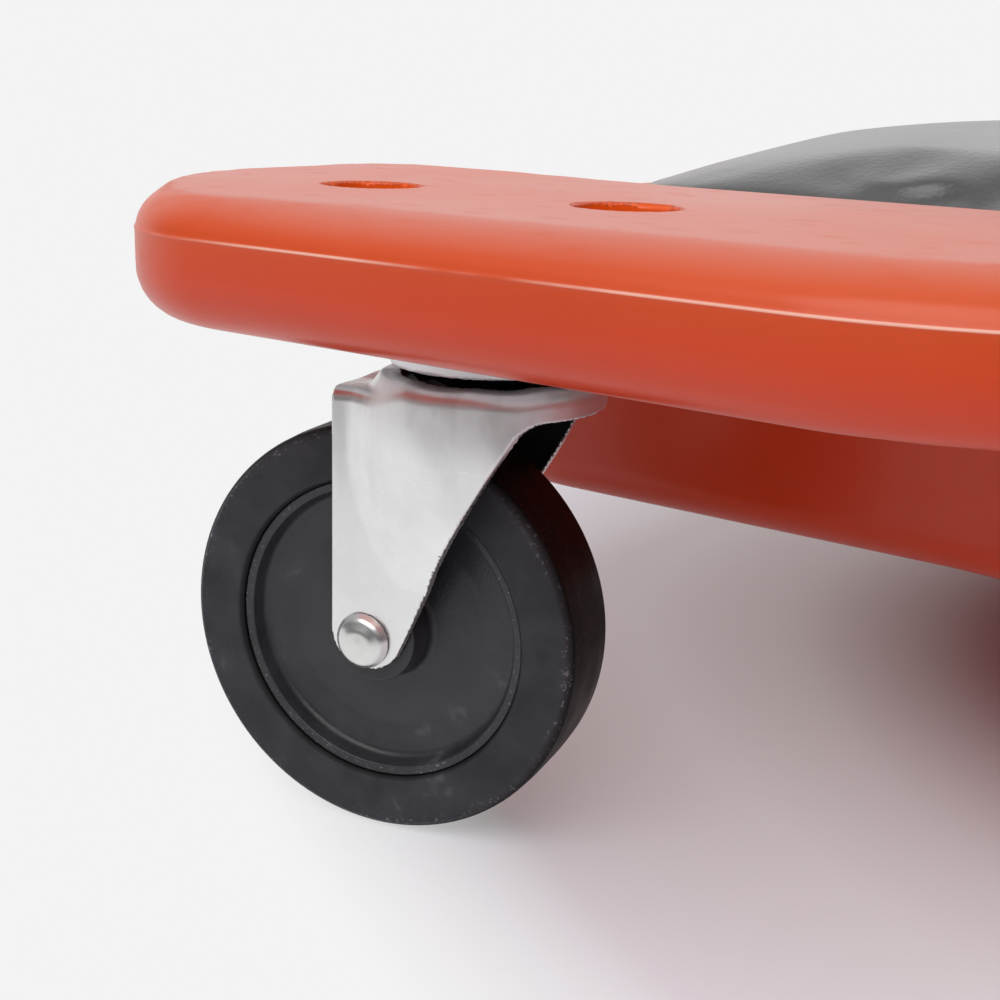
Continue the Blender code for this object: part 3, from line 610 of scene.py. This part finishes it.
# Headrest pad: a foam block under a stretched charcoal vinyl cover, stapled to the board below.
# It lies flat on the board, its sides are drawn in between the corners, and air and foam push
# the top up to a crown.

PAD_LOW, PAD_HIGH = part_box("headrest_pad")
PAD_CORNER = 0.023
PAD_RISE = 0.0119
PAD_SLACK = 0.002
PAD_PULL = 0.0015
PAD_ENDS_FROM = 0.05
PAD_SIDES_FROM = 0.07
PAD_TOP_EDGE = 0.0035
PAD_FOOT_EDGE = 0.003
STAPLED_HEIGHT = 0.004


def pad_block():
    """The foam before its cover fills: a rounded block that rises from a firm edge to a crown."""
    middle = (PAD_LOW + PAD_HIGH) / 2
    half = (PAD_HIGH - PAD_LOW) / 2
    margin = Vector((0.01, 0.01, 0.01))

    def field(x, y, z):
        x = x - middle.x
        y = y - middle.y
        sides = np.cos(np.pi * np.clip(x / half.x, -1, 1) / 2) * (np.abs(y) > PAD_SIDES_FROM)
        ends = np.cos(np.pi * np.clip(y / half.y, -1, 1) / 2) * (np.abs(x) > PAD_ENDS_FROM)
        outline = oblong_distance(x, y, half.x - PAD_SLACK, half.y - PAD_SLACK, PAD_CORNER)
        outward = np.minimum((np.abs(x / half.x) ** 5 + np.abs(y / half.y) ** 5) ** 0.2, 1)
        crown = PAD_HIGH.z - PAD_RISE * (1 - (1 - outward ** 2) ** 1.15)
        block = rounded_edge(outline + PAD_PULL * (sides + ends), 0.97 * (z - crown), PAD_TOP_EDGE)
        return rounded_edge(block, PAD_LOW.z - z, PAD_FOOT_EDGE)

    points, faces = skin_of(field, PAD_LOW - margin, PAD_HIGH + margin, step=0.0040)
    return mesh_of("headrest_cover", settled(points, field, 2), faces.tolist())


def filled(piece, frames=20, most=0.005):
    """The cover blown out by the foam, held where it is stapled, and never by more than a limit."""
    before = points_of(piece.data)
    held = piece.vertex_groups.new(name="stapled")
    held.add([i for i, p in enumerate(before) if p[2] < PAD_LOW.z + STAPLED_HEIGHT], 1.0, "REPLACE")
    cover = piece.modifiers.new("cover", "CLOTH")
    cover.settings.vertex_group_mass = "stapled"
    cover.settings.use_pressure = True
    cover.settings.uniform_pressure_force = 4.0
    cover.settings.effector_weights.gravity = 0.0
    cover.settings.tension_stiffness = 25.0
    cover.settings.compression_stiffness = 25.0
    cover.point_cache.frame_start = 1
    cover.point_cache.frame_end = frames
    for step in range(1, frames + 1):
        bpy.context.scene.frame_set(step)
    graph = bpy.context.evaluated_depsgraph_get()
    blown = bpy.data.meshes.new_from_object(piece.evaluated_get(graph))
    move = points_of(blown) - before
    size = np.maximum(np.linalg.norm(move, axis=1), 1e-9)
    move *= np.minimum(1.0, most / size)[:, None]
    piece.modifiers.remove(cover)
    piece.vertex_groups.remove(held)
    bpy.context.scene.frame_set(1)
    piece.data.vertices.foreach_set("co", (before + move).ravel())
    piece.data.update()


def fitted(piece):
    """The pad brought to the room that it has on the board and inside the rim."""
    points = points_of(piece.data)
    low, high = points.min(0), points.max(0)
    room_low, room_high = np.array(PAD_LOW), np.array(PAD_HIGH)
    points = room_low + (points - low) / (high - low) * (room_high - room_low)
    piece.data.vertices.foreach_set("co", points.ravel())
    piece.data.update()


def charcoal_vinyl():
    """Leather-grained vinyl: small cells with rounded tops, a dusty sheen and worn high spots."""
    material, tree, shader, where = new_finish("charcoal_vinyl", Sheen_Weight=0.8, Sheen_Roughness=0.25,
                                              Coat_Weight=0.8, Coat_Roughness=0.26)
    cell = node(tree, "ShaderNodeTexVoronoi", {"Vector": where, "Scale": 900.0}, feature="SMOOTH_F1")
    dust = mottle(tree, where, 35.0, 4.0)
    blotch = mottle(tree, where, 160.0, 4.0, (0.4, 1.0, 1.0))
    tone = summed(tree, dust, blotch, 0.5)
    coloured(tree, shader, shaded(tree, tone, (0.50, (0.036, 0.037, 0.037)), (0.95, (0.062, 0.062, 0.062))),
             ranged(tree, dust, 0.3, 0.7, 0.27, 0.36))
    crease = mottle(tree, where, 240.0, 3.0)
    bumped(tree, shader, summed(tree, cell.outputs["Distance"], crease, 0.5), 0.0003, 0.40)
    return material


pad = placed("headrest_cover", pad_block(), charcoal_vinyl(), "deck_body", "headrest_pad")
filled(pad)
fitted(pad)
smoothing = pad.modifiers.new("smooth_cover", "SUBSURF")
smoothing.levels = 1
smoothing.render_levels = 1


# Caster plates: pressed zinc-plated steel, bolted up under each ear. The middle of the plate is
# drawn down into a round cup that holds the upper ball race.

CASTERS = {
    "head_right": (-CASTER_X, -CASTER_Y),
    "mid_right": (0.0, -CASTER_Y),
    "foot_right": (CASTER_X, -CASTER_Y),
    "head_left": (-CASTER_X, CASTER_Y),
    "mid_left": (0.0, CASTER_Y),
    "foot_left": (CASTER_X, CASTER_Y),
}
PLATE_HALF_LENGTH = 0.0357
PLATE_HALF_WIDTH = 0.021
PLATE_CORNER = 0.008
PLATE_UNDER = 0.0906
PLATE_UNDER_EDGE = 0.0008
PLATE_TOP = 0.0928
PLATE_TOP_EDGE = 0.0005
CUP_UNDER = 0.0861
CUP_RADIUS = 0.0164
CUP_DRAFT = 0.06
CUP_EDGE = 0.0004
CUP_FILLET = 0.0022
CUP_WELL_RADIUS = 0.0122
CUP_WELL_FLOOR = PLATE_TOP - 0.0034
RACE_RADIUS = 0.0143
UPPER_RACE_TOP = CUP_UNDER + 0.0013
BOLT_HOLE_RADIUS = 0.0034
KINGPIN_HOLE_RADIUS = 0.0044
HOLE_EDGE = 0.0003


def plate_field(x, y, z):
    """The flat plate and its drawn cup, less the race below, the well above and the three holes."""
    around = np.hypot(x, y)
    plan = oblong_distance(x, y, PLATE_HALF_LENGTH, PLATE_HALF_WIDTH, PLATE_CORNER)
    slab = rounded_edge(rounded_edge(plan, z - PLATE_TOP, PLATE_TOP_EDGE), PLATE_UNDER - z, PLATE_UNDER_EDGE)
    cup_wall = around - CUP_RADIUS - CUP_DRAFT * (z - CUP_UNDER)
    cup = np.maximum(rounded_edge(cup_wall, CUP_UNDER - z, CUP_EDGE), z - PLATE_TOP + 0.0006)
    plate = moulded_fillet(slab, cup, CUP_FILLET)
    race = np.maximum(around - RACE_RADIUS, z - UPPER_RACE_TOP)
    well = np.maximum(around - CUP_WELL_RADIUS, CUP_WELL_FLOOR - z)
    bolt_hole = np.hypot(np.abs(x) - BOLT_OUT, y) - BOLT_HOLE_RADIUS
    hole = np.minimum(bolt_hole, around - KINGPIN_HOLE_RADIUS)
    return np.maximum(rounded_edge(plate, -hole, HOLE_EDGE), -np.minimum(race, well))


plate_mesh = moulded_mesh("caster_plate", plate_field, (-0.0375, -0.0228, 0.0845), (0.0375, 0.0228, 0.0945),
                          step=0.0007, share=0.35)
plate_zinc = zinc_plate("zinc_caster_plate", (0.94, 0.94, 0.94), rough=(0.34, 0.46), haze=0.45)
for name, (x, y) in CASTERS.items():
    placed(f"{name}_plate_pressing", plate_mesh, plate_zinc, "deck_body", f"{name}_plate",
           Matrix.Translation((x, y, 0)))


# Caster bolts: two hexagon bolts to a caster, each down a pocket in the ear, through the ear and
# the plate, with a washer under the head and a nut run up below.

POCKET_SEAT = POCKET_FLOOR + 0.0003
WASHER_RADIUS = 0.0075
WASHER_EDGE = 0.0003
HEAD_UNDER = POCKET_SEAT + 0.0014
HEAD_TOP = HEAD_UNDER + 0.0042
NUT_TOP = PLATE_UNDER - 0.0003
NUT_UNDER = NUT_TOP - 0.0036
BOLT_END = NUT_UNDER - 0.0006
HEXAGON_HALF = 0.0050
HEXAGON_EDGE = 0.0002
SHANK_RADIUS = 0.0029
THREAD_DEPTH = 0.00012
THREAD_PITCH = 0.001


def layer(z, low, high):
    """Distance outside a flat layer between two levels."""
    return np.maximum(low - z, z - high)


def bolt_field(x, y, z):
    """Washer, hexagon head, threaded shank and nut, with the head and the nut chamfered outwards."""
    around = np.hypot(x, y)
    slanted = np.maximum(np.abs(0.5 * y + 0.866 * x), np.abs(0.5 * y - 0.866 * x))
    flats = np.maximum(np.abs(y), slanted) - HEXAGON_HALF
    washer = rounded_edge(around - WASHER_RADIUS, layer(z, POCKET_SEAT, HEAD_UNDER), WASHER_EDGE)
    head = rounded_edge(flats, layer(z, HEAD_UNDER, HEAD_TOP), HEXAGON_EDGE)
    head = np.maximum(head, 0.8 * (around - HEXAGON_HALF + 1.2 * (z - HEAD_TOP)))
    nut = rounded_edge(flats, layer(z, NUT_UNDER, NUT_TOP), HEXAGON_EDGE)
    nut = np.maximum(nut, 0.8 * (around - HEXAGON_HALF - 1.2 * (z - NUT_UNDER)))
    wave = np.sin(2 * np.pi * z / THREAD_PITCH + np.arctan2(y, x))
    shank = np.maximum(around - SHANK_RADIUS - THREAD_DEPTH * wave, layer(z, BOLT_END, HEAD_UNDER + 0.001))
    return np.minimum(np.minimum(washer, shank), np.minimum(head, nut))


bolt_mesh = moulded_mesh("caster_bolt", bolt_field, (-0.0086, -0.0086, 0.0832), (0.0086, 0.0086, 0.1085),
                         step=0.00035, share=0.30)
bolt_zinc = zinc_plate("zinc_bolt", (0.72, 0.71, 0.68), rough=(0.30, 0.46), blotch=260.0)
for name, (x, y) in CASTERS.items():
    for end, offset in (("head", -BOLT_OUT), ("foot", BOLT_OUT)):
        placed(f"{name}_bolt_{end}_fastener", bolt_mesh, bolt_zinc, "deck_body", f"{name}_bolt_{end}",
               Matrix.Translation((x + offset, y, 0)))


# Kingpins and ball rings: each kingpin is a steel rivet that hangs the fork from the plate, and the
# fork turns on a greased ring of balls between the two races. Both keep their solids.

# Nearly black steel for the balls: painted shade for the dark gap between the races, with a mottle of grease
# on it.
def painted_shade_steel():
    material, tree, shader, where = new_finish("painted_shade_steel", Specular_IOR_Level=0.15)
    grease = mottle(tree, where, 300.0, 3.0)
    coloured(tree, shader, shaded(tree, grease, (0.35, (0.004, 0.004, 0.004)), (0.7, (0.012, 0.011, 0.010))),
             ranged(tree, grease, 0.3, 0.7, 0.40, 0.60))
    bumped(tree, shader, grease, 0.0002, 0.4)
    return material


ball_steel = painted_shade_steel()
rivet_bright = zinc_plate("bright_rivet", (0.84, 0.84, 0.83), rough=(0.26, 0.36), blotch=160.0)
for name in CASTERS:
    refinish(f"{name}_kingpin", rivet_bright)
    refinish(f"{name}_ball_ring", ball_steel)


# Forks: each is one stamping of 2 mm sheet, zinc plated. Its web is drawn up into a round dish for
# the lower race, the front of the dish ends in a free lip, the rear is a flat shelf with bent edges,
# and the legs swell out under the dish and rake down to round ends at the axle.

SWIVEL_TURN = math.radians(192.2)
TRAIL = 0.0162
AXLE_HEIGHT = 0.0375
SHEET = 0.002
SHEET_EDGE = 0.0003
WEB_TOP = 0.0818
WEB_FRONT = -0.002
RACE_TOP = 0.0845
LOWER_RACE_FLOOR = RACE_TOP - 0.0016
RACE_OUTER = 0.0148
DISH_RADIUS = 0.0174
DISH_FOOT = 0.0026
CROWN_RADIUS = 0.0206
CROWN_BEND = 0.0021
CROWN_FILLET = 0.0035
LIP_UNDER = 0.0798
LIP_FILLET = 0.0025
RIPPLE_OUT = 0.0009
RIPPLE_DOWN = 0.00012
LEG_OUTER = 0.013
LEG_REAR = 0.0227
LEG_END_RADIUS = 0.0069
LEG_END_HEIGHT = 0.0390
LEG_RAKE = math.radians(24.5)
LEG_HEAD = 0.120
LEG_APEX = LEG_END_HEIGHT - LEG_END_RADIUS / math.tan(LEG_RAKE / 2)
LEG_SIDE = [
    (LEG_REAR, LEG_APEX, LEG_END_RADIUS), (LEG_REAR, LEG_HEAD, 0.0),
    (LEG_REAR - (LEG_HEAD - LEG_APEX) * math.tan(LEG_RAKE), LEG_HEAD, 0.0),
]
SWELL_FOOT = 0.0480
SWELL_TOP = WEB_TOP - 0.0018
SWELL_FROM = LEG_OUTER - 0.0006
FLARE = 0.0030
FLARE_FOOT = 0.052
FLARE_HEIGHT = 0.025
FLARE_REAR = 0.015


def fork_skin(x, y, z, depth):
    """The pressing's outer skin, or the same skin drawn in by a depth."""
    around = np.hypot(x, y)
    bearing = x / np.maximum(around, 1e-6)
    ripple = np.sin(9 * np.arctan2(y, x) + 0.6)
    rise = np.clip((z - SWELL_FOOT) / (SWELL_TOP - SWELL_FOOT), 0, 1)
    swell = SWELL_FROM + (CROWN_RADIUS - SWELL_FROM) * (1 - (1 - rise) ** 2.4)
    swell = swell + RIPPLE_OUT * ripple * rise * (1 - rise)
    channel = np.maximum(np.abs(y) - LEG_OUTER + depth, WEB_FRONT - x)
    side = moulded_fillet(channel, 0.90 * (around - swell + 1.1 * depth), CROWN_FILLET)
    rearward = smooth((bearing - 0.25) / 0.5) * smooth((around - DISH_RADIUS) / DISH_FOOT)
    level = RACE_TOP - RIPPLE_DOWN * (1 + ripple) - rearward * (RACE_TOP - WEB_TOP)
    return rounded_edge(side, 0.85 * (z - level + depth), CROWN_BEND - 0.7 * depth)


def fork_field(x, y, z):
    """The sheet between the two skins, cut to the legs and the crown, less the race and the pin's hole."""
    around = np.hypot(x, y)
    pressing = rounded_edge(fork_skin(x, y, z, 0.0), -fork_skin(x, y, z, SHEET), SHEET_EDGE)
    forward = np.clip((FLARE_REAR - x) / FLARE_REAR, 0, 1)
    flare = FLARE * np.clip((z - FLARE_FOOT) / FLARE_HEIGHT, 0, 1.1) * forward
    legs = plan_distance(x + flare, z, LEG_SIDE)
    crown = np.maximum(LIP_UNDER - z, around - CROWN_RADIUS - 0.001)
    fork = rounded_edge(pressing, moulded_fillet(legs, crown, LIP_FILLET), SHEET_EDGE)
    race = np.maximum(around - RACE_RADIUS, LOWER_RACE_FLOOR - z)
    return np.maximum(fork, -np.minimum(race, around - KINGPIN_HOLE_RADIUS))


def painted_shade_inside(mesh, outside, inside):
    """The pressing's inner faces, the faces turned down and the floor of the race, which light hardly
    reaches, painted dark as shade in their own finish.
    """
    mesh.materials.append(outside)
    mesh.materials.append(inside)
    for face in mesh.polygons:
        towards_wheel = -face.normal.y if face.center.y > 0 else face.normal.y
        in_race = math.hypot(face.center.x, face.center.y) < RACE_OUTER and face.center.z > WEB_TOP
        face.material_index = int(towards_wheel > 0.5 or face.normal.z < -0.6 or in_race)


def swivel_place(x, y):
    return Matrix.Translation((x, y, 0)) @ Matrix.Rotation(SWIVEL_TURN, 4, "Z")


def at_each_caster(piece, mesh, material, body, node, place):
    """One piece for each caster, on that caster's own body."""
    for name, (x, y) in CASTERS.items():
        placed(f"{name}_{piece}", mesh, material, f"{name}_{body}", f"{name}_{node}", place(x, y))


fork_mesh = moulded_mesh("caster_fork", fork_field, (-0.0222, -0.0222, 0.0300), (0.0242, 0.0222, 0.0865),
                         step=0.00055, share=0.45)
fork_zinc = zinc_plate("zinc_fork", (0.93, 0.93, 0.93), rough=(0.24, 0.36), drawn_from=0.060, haze=0.15)
# Painted shade: a dark zinc for the faces inside the fork, under it and in the race.
fork_painted_shade = zinc_plate("fork_inside_painted_shade", (0.13, 0.125, 0.125), rough=(0.42, 0.58))
painted_shade_inside(fork_mesh, fork_zinc, fork_painted_shade)
at_each_caster("fork_stamping", fork_mesh, fork_zinc, "swivel", "fork", swivel_place)


# Axles: each is a plain steel rivet, put through both legs and the hub and closed to a bright dome at
# each end, so the wheel turns on it and it stays still in the fork.

AXLE_SEAT = LEG_OUTER + 0.0003
AXLE_HALF = [
    (0.00002, AXLE_SEAT + 0.0024, 0.00001), (0.0022, AXLE_SEAT + 0.0022, 0.0030),
    (0.0041, AXLE_SEAT + 0.0014, 0.0020), (0.0050, AXLE_SEAT + 0.0003, 0.0002),
    (0.0049, AXLE_SEAT, 0.0001), (0.0040, AXLE_SEAT, 0.0002),
]


def mirrored(half):
    """A closed section from its half on one side of the wheel's middle."""
    return half + [(radius, -reach, rounding) for radius, reach, rounding in reversed(half)]


def rounded_profile(corners, step=math.radians(15)):
    """Points and outward directions round a closed section whose corners are (radius, reach, rounding)."""
    profile = []
    count = len(corners)
    for i, (radius, reach, rounding) in enumerate(corners):
        here = Vector((radius, reach))
        back = (Vector(corners[i - 1][:2]) - here).normalized()
        ahead = (Vector(corners[(i + 1) % count][:2]) - here).normalized()
        bend = math.pi - back.angle(ahead)
        turn = 1 if (-back).cross(ahead) > 0 else -1
        centre = here + (back + ahead).normalized() * rounding / math.cos(bend / 2)
        start = here + back * rounding * math.tan(bend / 2) - centre
        pieces = max(2, math.ceil(bend / step))
        for k in range(pieces + 1):
            spoke = Matrix.Rotation(turn * bend * k / pieces, 2) @ start
            profile.append((centre + spoke, turn * spoke.normalized()))
    return profile


def turned_mesh(name, half, segments):
    """A section, given as its half, turned about the axle, which is the local Y axis."""
    profile = rounded_profile(mirrored(half)[::-1])
    count = len(profile)
    points, normals, faces = [], [], []
    for i in range(segments):
        angle = 2 * math.pi * i / segments
        c, s = math.cos(angle), math.sin(angle)
        for place, direction in profile:
            points.append((place.x * c, place.y, place.x * s))
            normals.append((direction.x * c, direction.y, direction.x * s))
    for i in range(segments):
        j = (i + 1) % segments
        for k in range(count):
            n = (k + 1) % count
            faces.append((i * count + k, i * count + n, j * count + n, j * count + k))
    mesh = mesh_of(name, points, faces)
    form = bmesh.new()
    form.from_mesh(mesh)
    bmesh.ops.recalc_face_normals(form, faces=form.faces[:])
    form.to_mesh(mesh)
    form.free()
    mesh.normals_split_custom_set_from_vertices(normals)
    return mesh


def axle_place(x, y):
    return swivel_place(x, y) @ Matrix.Translation((TRAIL, 0, AXLE_HEIGHT))


axle_mesh = turned_mesh("axle_rivet", AXLE_HALF, 64)
at_each_caster("axle_rivet", axle_mesh, rivet_bright, "swivel", "axle", axle_place)


# Hubs: black moulded polypropylene, a boss that runs on the axle, a thin dished web, and a stepped
# rim that the tyre is moulded on.

HUB_HALF = [
    (0.0044, 0.0106, 0.0002), (0.0085, 0.0106, 0.0005), (0.0091, 0.0044, 0.0012), (0.0190, 0.0034, 0.0060),
    (0.0252, 0.0044, 0.0016), (0.0260, 0.0074, 0.0004), (0.0275, 0.0077, 0.0002),
]


def black_moulding(name, dark, pale, gloss, rough, worn_at, tread_shade_from=-0.01):
    """Black plastic or rubber with a dusty bloom on its faces and fine grain, rubbed to specks at an edge.

    The edge lies between the two radii of worn_at, and on the tread, nearer the middle than the given reach,
    the colour is painted nearly black as shade."""
    material, tree, shader, where = new_finish(name, Specular_IOR_Level=gloss)
    axes = axes_of(tree, where)
    flat = node(tree, "ShaderNodeCombineXYZ", {"X": axes["X"], "Z": axes["Z"]}).outputs[0]
    radius = node(tree, "ShaderNodeVectorMath", {0: flat}, operation="LENGTH").outputs["Value"]
    bloom = mottle(tree, where, 120.0, 4.0)
    speck = ranged(tree, mottle(tree, where, 1300.0, 5.0, roughness=0.7), 0.56, 0.66, 0.0, 1.0)
    worn = reckoned(tree, "MULTIPLY", ranged(tree, radius, *worn_at, 0.0, 1.0), speck)
    # Paler smears towards the rim: partly a painted reflection of the floor, partly dust.
    smear = ranged(tree, mottle(tree, where, 60.0, 4.0, roughness=0.6), 0.50, 0.74, 0.0, 0.24)
    rimward = ranged(tree, radius, 0.0150, 0.0220, 0.0, 1.0)
    tone = summed(tree, ranged(tree, bloom, 0.3, 0.75, 0.0, 0.5), worn, 0.8)
    tone = summed(tree, tone, reckoned(tree, "MULTIPLY", smear, rimward))
    colour = shaded(tree, tone, (0.0, dark), (0.5, pale), (1.0, (0.22, 0.22, 0.23)))
    # Painted shade: on the tread, between the two faces, the colour runs to near black.
    reach = reckoned(tree, "ABSOLUTE", axes["Y"])
    face = ranged(tree, reach, tread_shade_from, tread_shade_from + 0.001, 0.08, 1.0)
    coloured(tree, shader, mixed(tree, face, (0.006, 0.006, 0.006, 1.0), colour),
             ranged(tree, bloom, 0.3, 0.7, *rough))
    fine = mottle(tree, where, 2200.0, 2.0)
    bumped(tree, shader, summed(tree, fine, worn, 0.8), 0.0001, 0.5)
    return material


hub_mesh = turned_mesh("wheel_hub", HUB_HALF, 96)
hub_black = black_moulding("black_hub", (0.025, 0.025, 0.029), (0.044, 0.044, 0.049), gloss=0.45,
                           rough=(0.30, 0.44), worn_at=(0.0258, 0.0266))
at_each_caster("wheel_hub", hub_mesh, hub_black, "wheel", "hub", axle_place)


# Tyres: hard black rubber, moulded on the hub. The sides are flat rings with a soft shoulder, and
# the tread is plain and a little crowned.

TYRE_INNER = 0.0276
TYRE_HALF = [
    (TYRE_INNER, 0.0080, 0.0003), (TYRE_INNER + 0.0006, 0.0090, 0.0005), (0.0361, 0.0090, 0.0007),
    (0.0373, 0.0078, 0.0012), (0.0375, 0.0040, 0.0030),
]
tyre_mesh = turned_mesh("wheel_tyre", TYRE_HALF, 128)
tyre_black = black_moulding("black_tyre", (0.036, 0.036, 0.040), (0.057, 0.057, 0.063), gloss=0.12,
                            rough=(0.42, 0.55), worn_at=(0.0345, 0.0364), tread_shade_from=0.0079)
at_each_caster("wheel_tyre", tyre_mesh, tyre_black, "wheel", "tyre", axle_place)


# Studio: a pale floor that keeps the shadow, a white room, one large soft lamp above and in
# front, and the camera low beside the head end, close to one caster.

WHITE = 0.90
BRIGHT_SIDE = Vector((-0.64, -0.30, 0.70)).normalized()
FAR_SIDE = Vector((-0.40, 0.92, 0.0)).normalized()
VIEW_HEADING = Vector((-0.5753, 0.8179, 0.0)).normalized()
VIEW_PITCH = 0.275
VIEW_ROLL = 0.032
CAMERA_PLACE = (-0.2766, -0.3970, 0.1326)


def along_heading(tree, where, heading):
    """How far a place lies along a heading."""
    product = node(tree, "ShaderNodeVectorMath", {0: where, 1: heading}, operation="DOT_PRODUCT")
    return product.outputs["Value"]


def studio_floor():
    """Pale paper that takes the shadow, and fades into the white room away from the creeper.

    To a gloss it is dimmer near the camera and towards the foot end."""
    mesh = bpy.data.meshes.new("studio_floor")
    mesh.from_pydata([(-6, -6, 0), (6, -6, 0), (6, 6, 0), (-6, 6, 0)], [], [(0, 1, 2, 3)])
    floor = bpy.data.objects.new("studio_floor", mesh)
    bpy.context.scene.collection.objects.link(floor)
    material, tree, shader, where = new_finish("studio_paper", Specular_IOR_Level=0.0, Roughness=0.9)
    paper = shaded(tree, mottle(tree, where, 3.0), (0.3, (0.870, 0.878, 0.962)), (0.7, (0.890, 0.898, 0.982)))
    tree.links.new(paper, shader.inputs["Base Color"])
    path = node(tree, "ShaderNodeLightPath").outputs
    seen = reckoned(tree, "MAXIMUM", path["Is Camera Ray"], path["Is Glossy Ray"])
    seen = reckoned(tree, "MAXIMUM", seen, path["Is Transmission Ray"])
    flat = node(tree, "ShaderNodeMapping", {"Vector": where, "Scale": (0.55, 1.0, 1.0)}).outputs[0]
    away = node(tree, "ShaderNodeVectorMath", {0: flat}, operation="LENGTH").outputs["Value"]
    # Painted light over the floor's shadow, set by distance: the shadow is kept close in, lightened further
    # out, kept darker again round the wheel's contact, and white beyond.
    fade = shaded(tree, away, (0.212, (0.02,) * 3), (0.240, (0.27,) * 3),
                  (0.262, (0.33,) * 3), (0.296, (0.21,) * 3), (0.330, (1.0,) * 3))
    near = ranged(tree, along_heading(tree, where, VIEW_HEADING), -0.30, -0.04, 0.52, 0.0)
    footward = ranged(tree, axes_of(tree, where)["X"], -0.25, 0.05, 0.0, 0.36)
    dim = reckoned(tree, "MULTIPLY", summed(tree, near, footward), path["Is Glossy Ray"])
    white = node(tree, "ShaderNodeEmission", {"Strength": reckoned(tree, "SUBTRACT", WHITE, dim)}).outputs[0]
    shown = node(tree, "ShaderNodeMixShader", {0: reckoned(tree, "MULTIPLY", fade, seen),
                                               1: shader.outputs[0], 2: white})
    tree.links.new(shown.outputs[0], tree.nodes["Material Output"].inputs["Surface"])
    mesh.materials.append(material)


def studio_room():
    """White to the eye, and to everything else brighter above and to the left than to the right."""
    world = bpy.data.worlds.new("studio_room")
    bpy.context.scene.world = world
    world.use_nodes = True
    tree = world.node_tree
    path = node(tree, "ShaderNodeLightPath").outputs
    heading = node(tree, "ShaderNodeTexCoord").outputs["Generated"]
    lit = ranged(tree, along_heading(tree, heading, BRIGHT_SIDE), -0.6, 0.6, 0.12, 0.43)
    far = ranged(tree, along_heading(tree, heading, FAR_SIDE), 0.0, 0.4, 0.0, 0.95)
    above = ranged(tree, axes_of(tree, heading)["Z"], 0.05, 0.75, 0.08, 0.55)
    gloss = reckoned(tree, "MAXIMUM", far, above)
    level = node(tree, "ShaderNodeMix", {"Factor": path["Is Glossy Ray"], "A": lit, "B": gloss}).outputs[0]
    direct = reckoned(tree, "MAXIMUM", path["Is Camera Ray"], path["Is Transmission Ray"])
    level = node(tree, "ShaderNodeMix", {"Factor": direct, "A": level, "B": WHITE}).outputs[0]
    room = tree.nodes["Background"]
    room.inputs["Color"].default_value = (1.0, 1.0, 1.0, 1.0)
    tree.links.new(level, room.inputs["Strength"])


def studio_lamp(name, place, aim, size, power):
    data = bpy.data.lights.new(name, "AREA")
    data.shape = "DISK"
    data.size = size
    data.energy = power
    lamp = bpy.data.objects.new(name, data)
    lamp.location = place
    lamp.rotation_mode = "QUATERNION"
    lamp.rotation_quaternion = (Vector(aim) - Vector(place)).to_track_quat("-Z", "Y")
    bpy.context.scene.collection.objects.link(lamp)


def studio_camera():
    """The camera at its place, turned to its heading, pitched down and rolled a little."""
    level_right = Vector((VIEW_HEADING.y, -VIEW_HEADING.x, 0))
    upright = Vector((0, 0, 1))
    forward = math.cos(VIEW_PITCH) * VIEW_HEADING - math.sin(VIEW_PITCH) * upright
    level_up = math.sin(VIEW_PITCH) * VIEW_HEADING + math.cos(VIEW_PITCH) * upright
    right = math.cos(VIEW_ROLL) * level_right + math.sin(VIEW_ROLL) * level_up
    up = -math.sin(VIEW_ROLL) * level_right + math.cos(VIEW_ROLL) * level_up
    data = bpy.data.cameras.new("studio_camera")
    data.lens = 54.0
    data.sensor_width = 36.0
    data.clip_start = 0.01
    camera = bpy.data.objects.new("studio_camera", data)
    turn = Matrix((right, up, -forward)).transposed().to_4x4()
    camera.matrix_world = Matrix.Translation(CAMERA_PLACE) @ turn
    bpy.context.scene.collection.objects.link(camera)
    bpy.context.scene.camera = camera


studio_floor()
studio_room()
studio_lamp("key_lamp", place=(-0.07, -1.55, 2.25), aim=(-0.42, -0.2, 0.05), size=3.0, power=49.0)
studio_camera()
